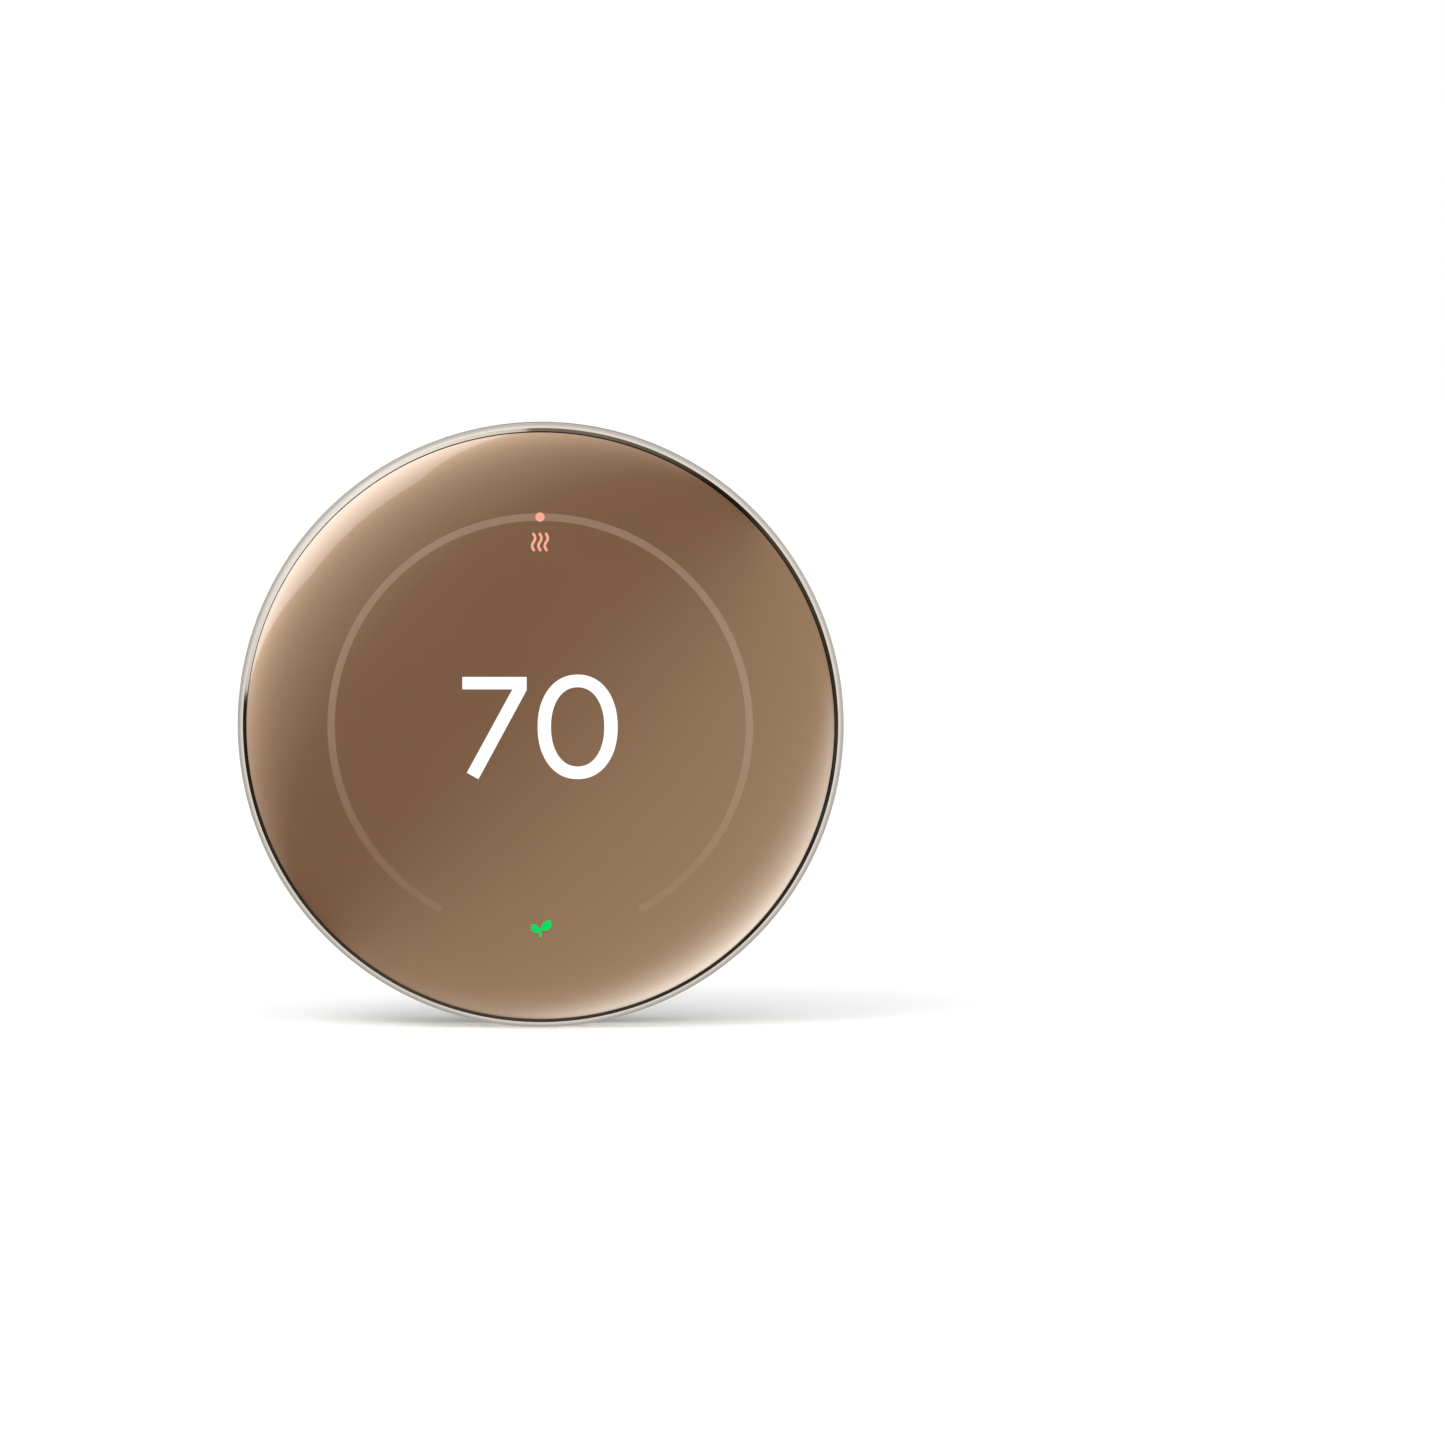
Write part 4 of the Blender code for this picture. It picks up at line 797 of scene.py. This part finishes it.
def leaf(name, root, tip, bulge, breadth):
    """A leaf: a bent path from root to tip, widest in the middle and pointed at its ends."""
    share = np.linspace(0, 1, 24)[:, None]
    root, tip = np.asarray(root, float), np.asarray(tip, float)
    step = tip - root
    side = np.array([-step[1], step[0]])
    path = SPROUT + root + step * share + side * bulge * np.sin(np.pi * share)
    ribbon(name, to_metres(path), breadth * MM * np.sin(np.pi * share[:, 0]) ** 0.8, GREEN_LIGHT)


leaf("sprout_leaf_right", (0.0, -0.2), (1.5, 1.3), -0.15, 1.4)
leaf("sprout_leaf_left", (0.0, -0.5), (-1.35, 0.6), 0.15, 1.2)
stem = to_metres(SPROUT + np.stack([np.zeros(12), np.linspace(-1.6, -0.1, 12)], -1))
ribbon("sprout_stem", stem, round_ends(stem, STEM_STROKE), GREEN_LIGHT)
print("signs lit")

# %% [markdown]
# ## Studio
#
# The thermostat stands on its ring on a white table. Bright metal and glass show what
# they face, so the room is drawn for them, as levels of light that depend on the
# direction: a square softbox high on the left, a large soft light low on the right,
# and darkness behind the camera. Matt surfaces and shadows take a plainer room, and
# the camera itself sees white.

# %% Directions and levels
world = bpy.data.worlds.new("studio")
bpy.context.scene.world = world
world.use_nodes = True
tree = world.node_tree
tree.nodes.clear()
look = add(tree, "ShaderNodeTexCoord").outputs["Generated"]


def towards(clock, from_face):
    """The direction so many degrees off the face's normal, at that clock angle in degrees."""
    clock, from_face = math.radians(clock), math.radians(from_face)
    across = math.sin(from_face)
    return Vector((across * math.sin(clock), -math.cos(from_face), across * math.cos(clock)))


def cosine(degrees):
    return math.cos(math.radians(degrees))


def facing(direction):
    """The cosine of the angle between the way we look and a direction."""
    dot = {"operation": "DOT_PRODUCT"}
    return add(tree, "ShaderNodeVectorMath", dot, _0=look, _1=direction).outputs["Value"]


def ranged(*settings):
    return range_of(tree, *settings)


def maths(operation, a, b):
    return add(tree, "ShaderNodeMath", {"operation": operation}, _0=a, _1=b).outputs[0]


def tinted(level, colour):
    """A light's colour, a triple or a socket, times its level."""
    return add(
        tree, "ShaderNodeVectorMath", {"operation": "SCALE"}, _0=colour, Scale=level
    ).outputs[0]


def total(*colours):
    """The sum of several lights' colours."""
    light, *rest = colours
    for other in rest:
        light = add(
            tree, "ShaderNodeVectorMath", {"operation": "ADD"}, _0=light, _1=other
        ).outputs[0]
    return light


# %% [markdown]
# Each light is a cone round a direction: its level rises from nothing at one angle off
# that direction to full at a smaller one. The softbox is cut to shape by three planes
# through the middle of the face, which give it its crisp edge in the glass.

# %% Lights that the gloss mirrors
WHITE = (1.0, 1.0, 1.0)
BOX_RIGHT, BOX_BELOW, BOX_CORNER = (-1.0, 0.27, 0.0), (0.0, 0.24, 1.0), (-0.62, 0.5, 0.79)
inside = 1.0
for normal in (BOX_RIGHT, BOX_BELOW, BOX_CORNER):
    edge = facing(Vector(normal).normalized())
    inside = maths("MULTIPLY", ranged(edge, -0.002, 0.006, 0, 1, True), inside)
box_middle = ranged(facing(towards(309, 75)), cosine(52), cosine(12), 0, 1)
softbox = total(
    tinted(inside, (1.95, 1.95, 1.95)),
    tinted(maths("MULTIPLY", inside, box_middle), (2.2, 2.8, 3.7)),
)
glow = maths("POWER", ranged(facing(towards(315, 90)), 0.15, 0.6, 0, 1), 0.75)
halo = tinted(glow, (2.4, 2.3, 2.0))
plateau = tinted(ranged(facing(towards(135, 90)), -0.01, 0.145, 0, 1, True), (1.08, 0.98, 0.72))
low_right = tinted(
    ranged(facing(towards(135, 70)), cosine(48), cosine(12), 0, 1), (3.6, 4.15, 4.7)
)
below = tinted(ranged(facing(towards(165, 70)), cosine(44), cosine(14), 0, 1), (1.1, 1.25, 1.4))

# %% Room
DARK_ROOM = 0.022
ahead = facing(towards(0, 0))
# both kinds of light fade out towards right angles to the face
beside = ranged(ahead, cosine(88), cosine(80), 0, 1, True)
near = ranged(ahead, cosine(80), cosine(70), 0, 1, True)
lights = total(tinted(beside, softbox), tinted(near, total(halo, plateau, low_right, below)))
# pale walls stand beside and behind the thermostat, where only the ring mirrors them
pale = ranged(ahead, cosine(122), cosine(88), 0.32, 0.98)
walls = maths("MULTIPLY", ranged(ahead, cosine(82), cosine(89), 0, 1, True), pale)
mirrored = total(lights, tinted(maths("ADD", walls, DARK_ROOM), WHITE))
soft = ranged(ahead, -0.3, 0.3, 0.62, 1.6, True)  # what matt surfaces take

# %% One level for each kind of ray
path_kind = add(tree, "ShaderNodeLightPath").outputs
colours = {"data_type": "VECTOR"}
level = add(
    tree, "ShaderNodeMix", colours,
    _0=path_kind["Is Glossy Ray"], _4=tinted(soft, WHITE), _5=mirrored,
)
seen = add(
    tree, "ShaderNodeMix", colours, _0=path_kind["Is Camera Ray"], _4=level.outputs[1], _5=WHITE
)
sky = add(tree, "ShaderNodeBackground", Color=seen.outputs[1])
add(tree, "ShaderNodeOutputWorld", Surface=sky.outputs[0])
print("studio of", len(tree.nodes), "nodes")

# %% [markdown]
# The table is one large white plane that takes the shadow. It is left out of what the
# gloss mirrors, because the room's levels already stand for it.

# %% Floor
HALF_FLOOR = 3.0
level_of_table = cad_low.z
floor_mesh = bpy.data.meshes.new("floor")
sides = ((-1, -1), (1, -1), (1, 1), (-1, 1))
corners = [(x * HALF_FLOOR, y * HALF_FLOOR, level_of_table) for x, y in sides]
floor_mesh.from_pydata(corners, [], [(0, 1, 2, 3)])
floor = bpy.data.objects.new("floor", floor_mesh)
bpy.context.scene.collection.objects.link(floor)
floor_white = new_finish(
    "floor_white", (0.92, 0.92, 0.92), 0.9,
    specular_ior_level=0.0, emission_color=(1, 1, 1, 1), emission_strength=0.04,
)
floor_mesh.materials.append(floor_white)
floor.visible_glossy = False
floor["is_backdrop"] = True
print("floor", 2 * HALF_FLOOR, "m wide")

# %% [markdown]
# The lamp is one broad disc, high on the left. It gives the shadow its direction and
# stays out of every reflection, which the room has already drawn.

# %% Lamp
LAMP_ENERGY = 8.0
lamp_data = bpy.data.lights.new("key", "AREA")
lamp_data.shape = "DISK"
lamp_data.size = 1.0
lamp_data.energy = LAMP_ENERGY
lamp = bpy.data.objects.new("key", lamp_data)
lamp.location = (-0.8, -1.1, 1.5)
lamp.rotation_euler = (-lamp.location).to_track_quat("-Z", "Y").to_euler()
lamp.visible_glossy = False
lamp.visible_camera = False
bpy.context.scene.collection.objects.link(lamp)
print("lamp", round(lamp.location.length, 2), "m away")

# %% [markdown]
# ## Camera
#
# A long lens keeps the circle round. It stands a little above the middle of the face,
# and looks at a point to the right of it, which leaves empty table on that side.

# %% Camera
LENS = 250.0
SENSOR = 36.0
PICTURE_WIDTH = 0.2334  # at the ring's front
CAMERA_RISE = math.radians(3.75)
RIGHT_OF_CENTRE = 0.0294
ABOVE_CENTRE = 0.00055
distance = PICTURE_WIDTH * LENS / SENSOR
camera_data = bpy.data.cameras.new("camera")
camera_data.lens = LENS
camera_data.sensor_width = SENSOR
camera = bpy.data.objects.new("camera", camera_data)
target = Vector((RIGHT_OF_CENTRE, -ring_front, ABOVE_CENTRE))
away = Vector((0, -math.cos(CAMERA_RISE), math.sin(CAMERA_RISE)))
camera.location = target + away * distance
camera.rotation_euler = (-away).to_track_quat("-Z", "Y").to_euler()
bpy.context.scene.collection.objects.link(camera)
bpy.context.scene.camera = camera
bpy.context.scene.view_settings.view_transform = "Standard"
print("camera", round(distance, 3), "m away")

# %% Measure the bounds of the dressed scene
low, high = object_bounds()
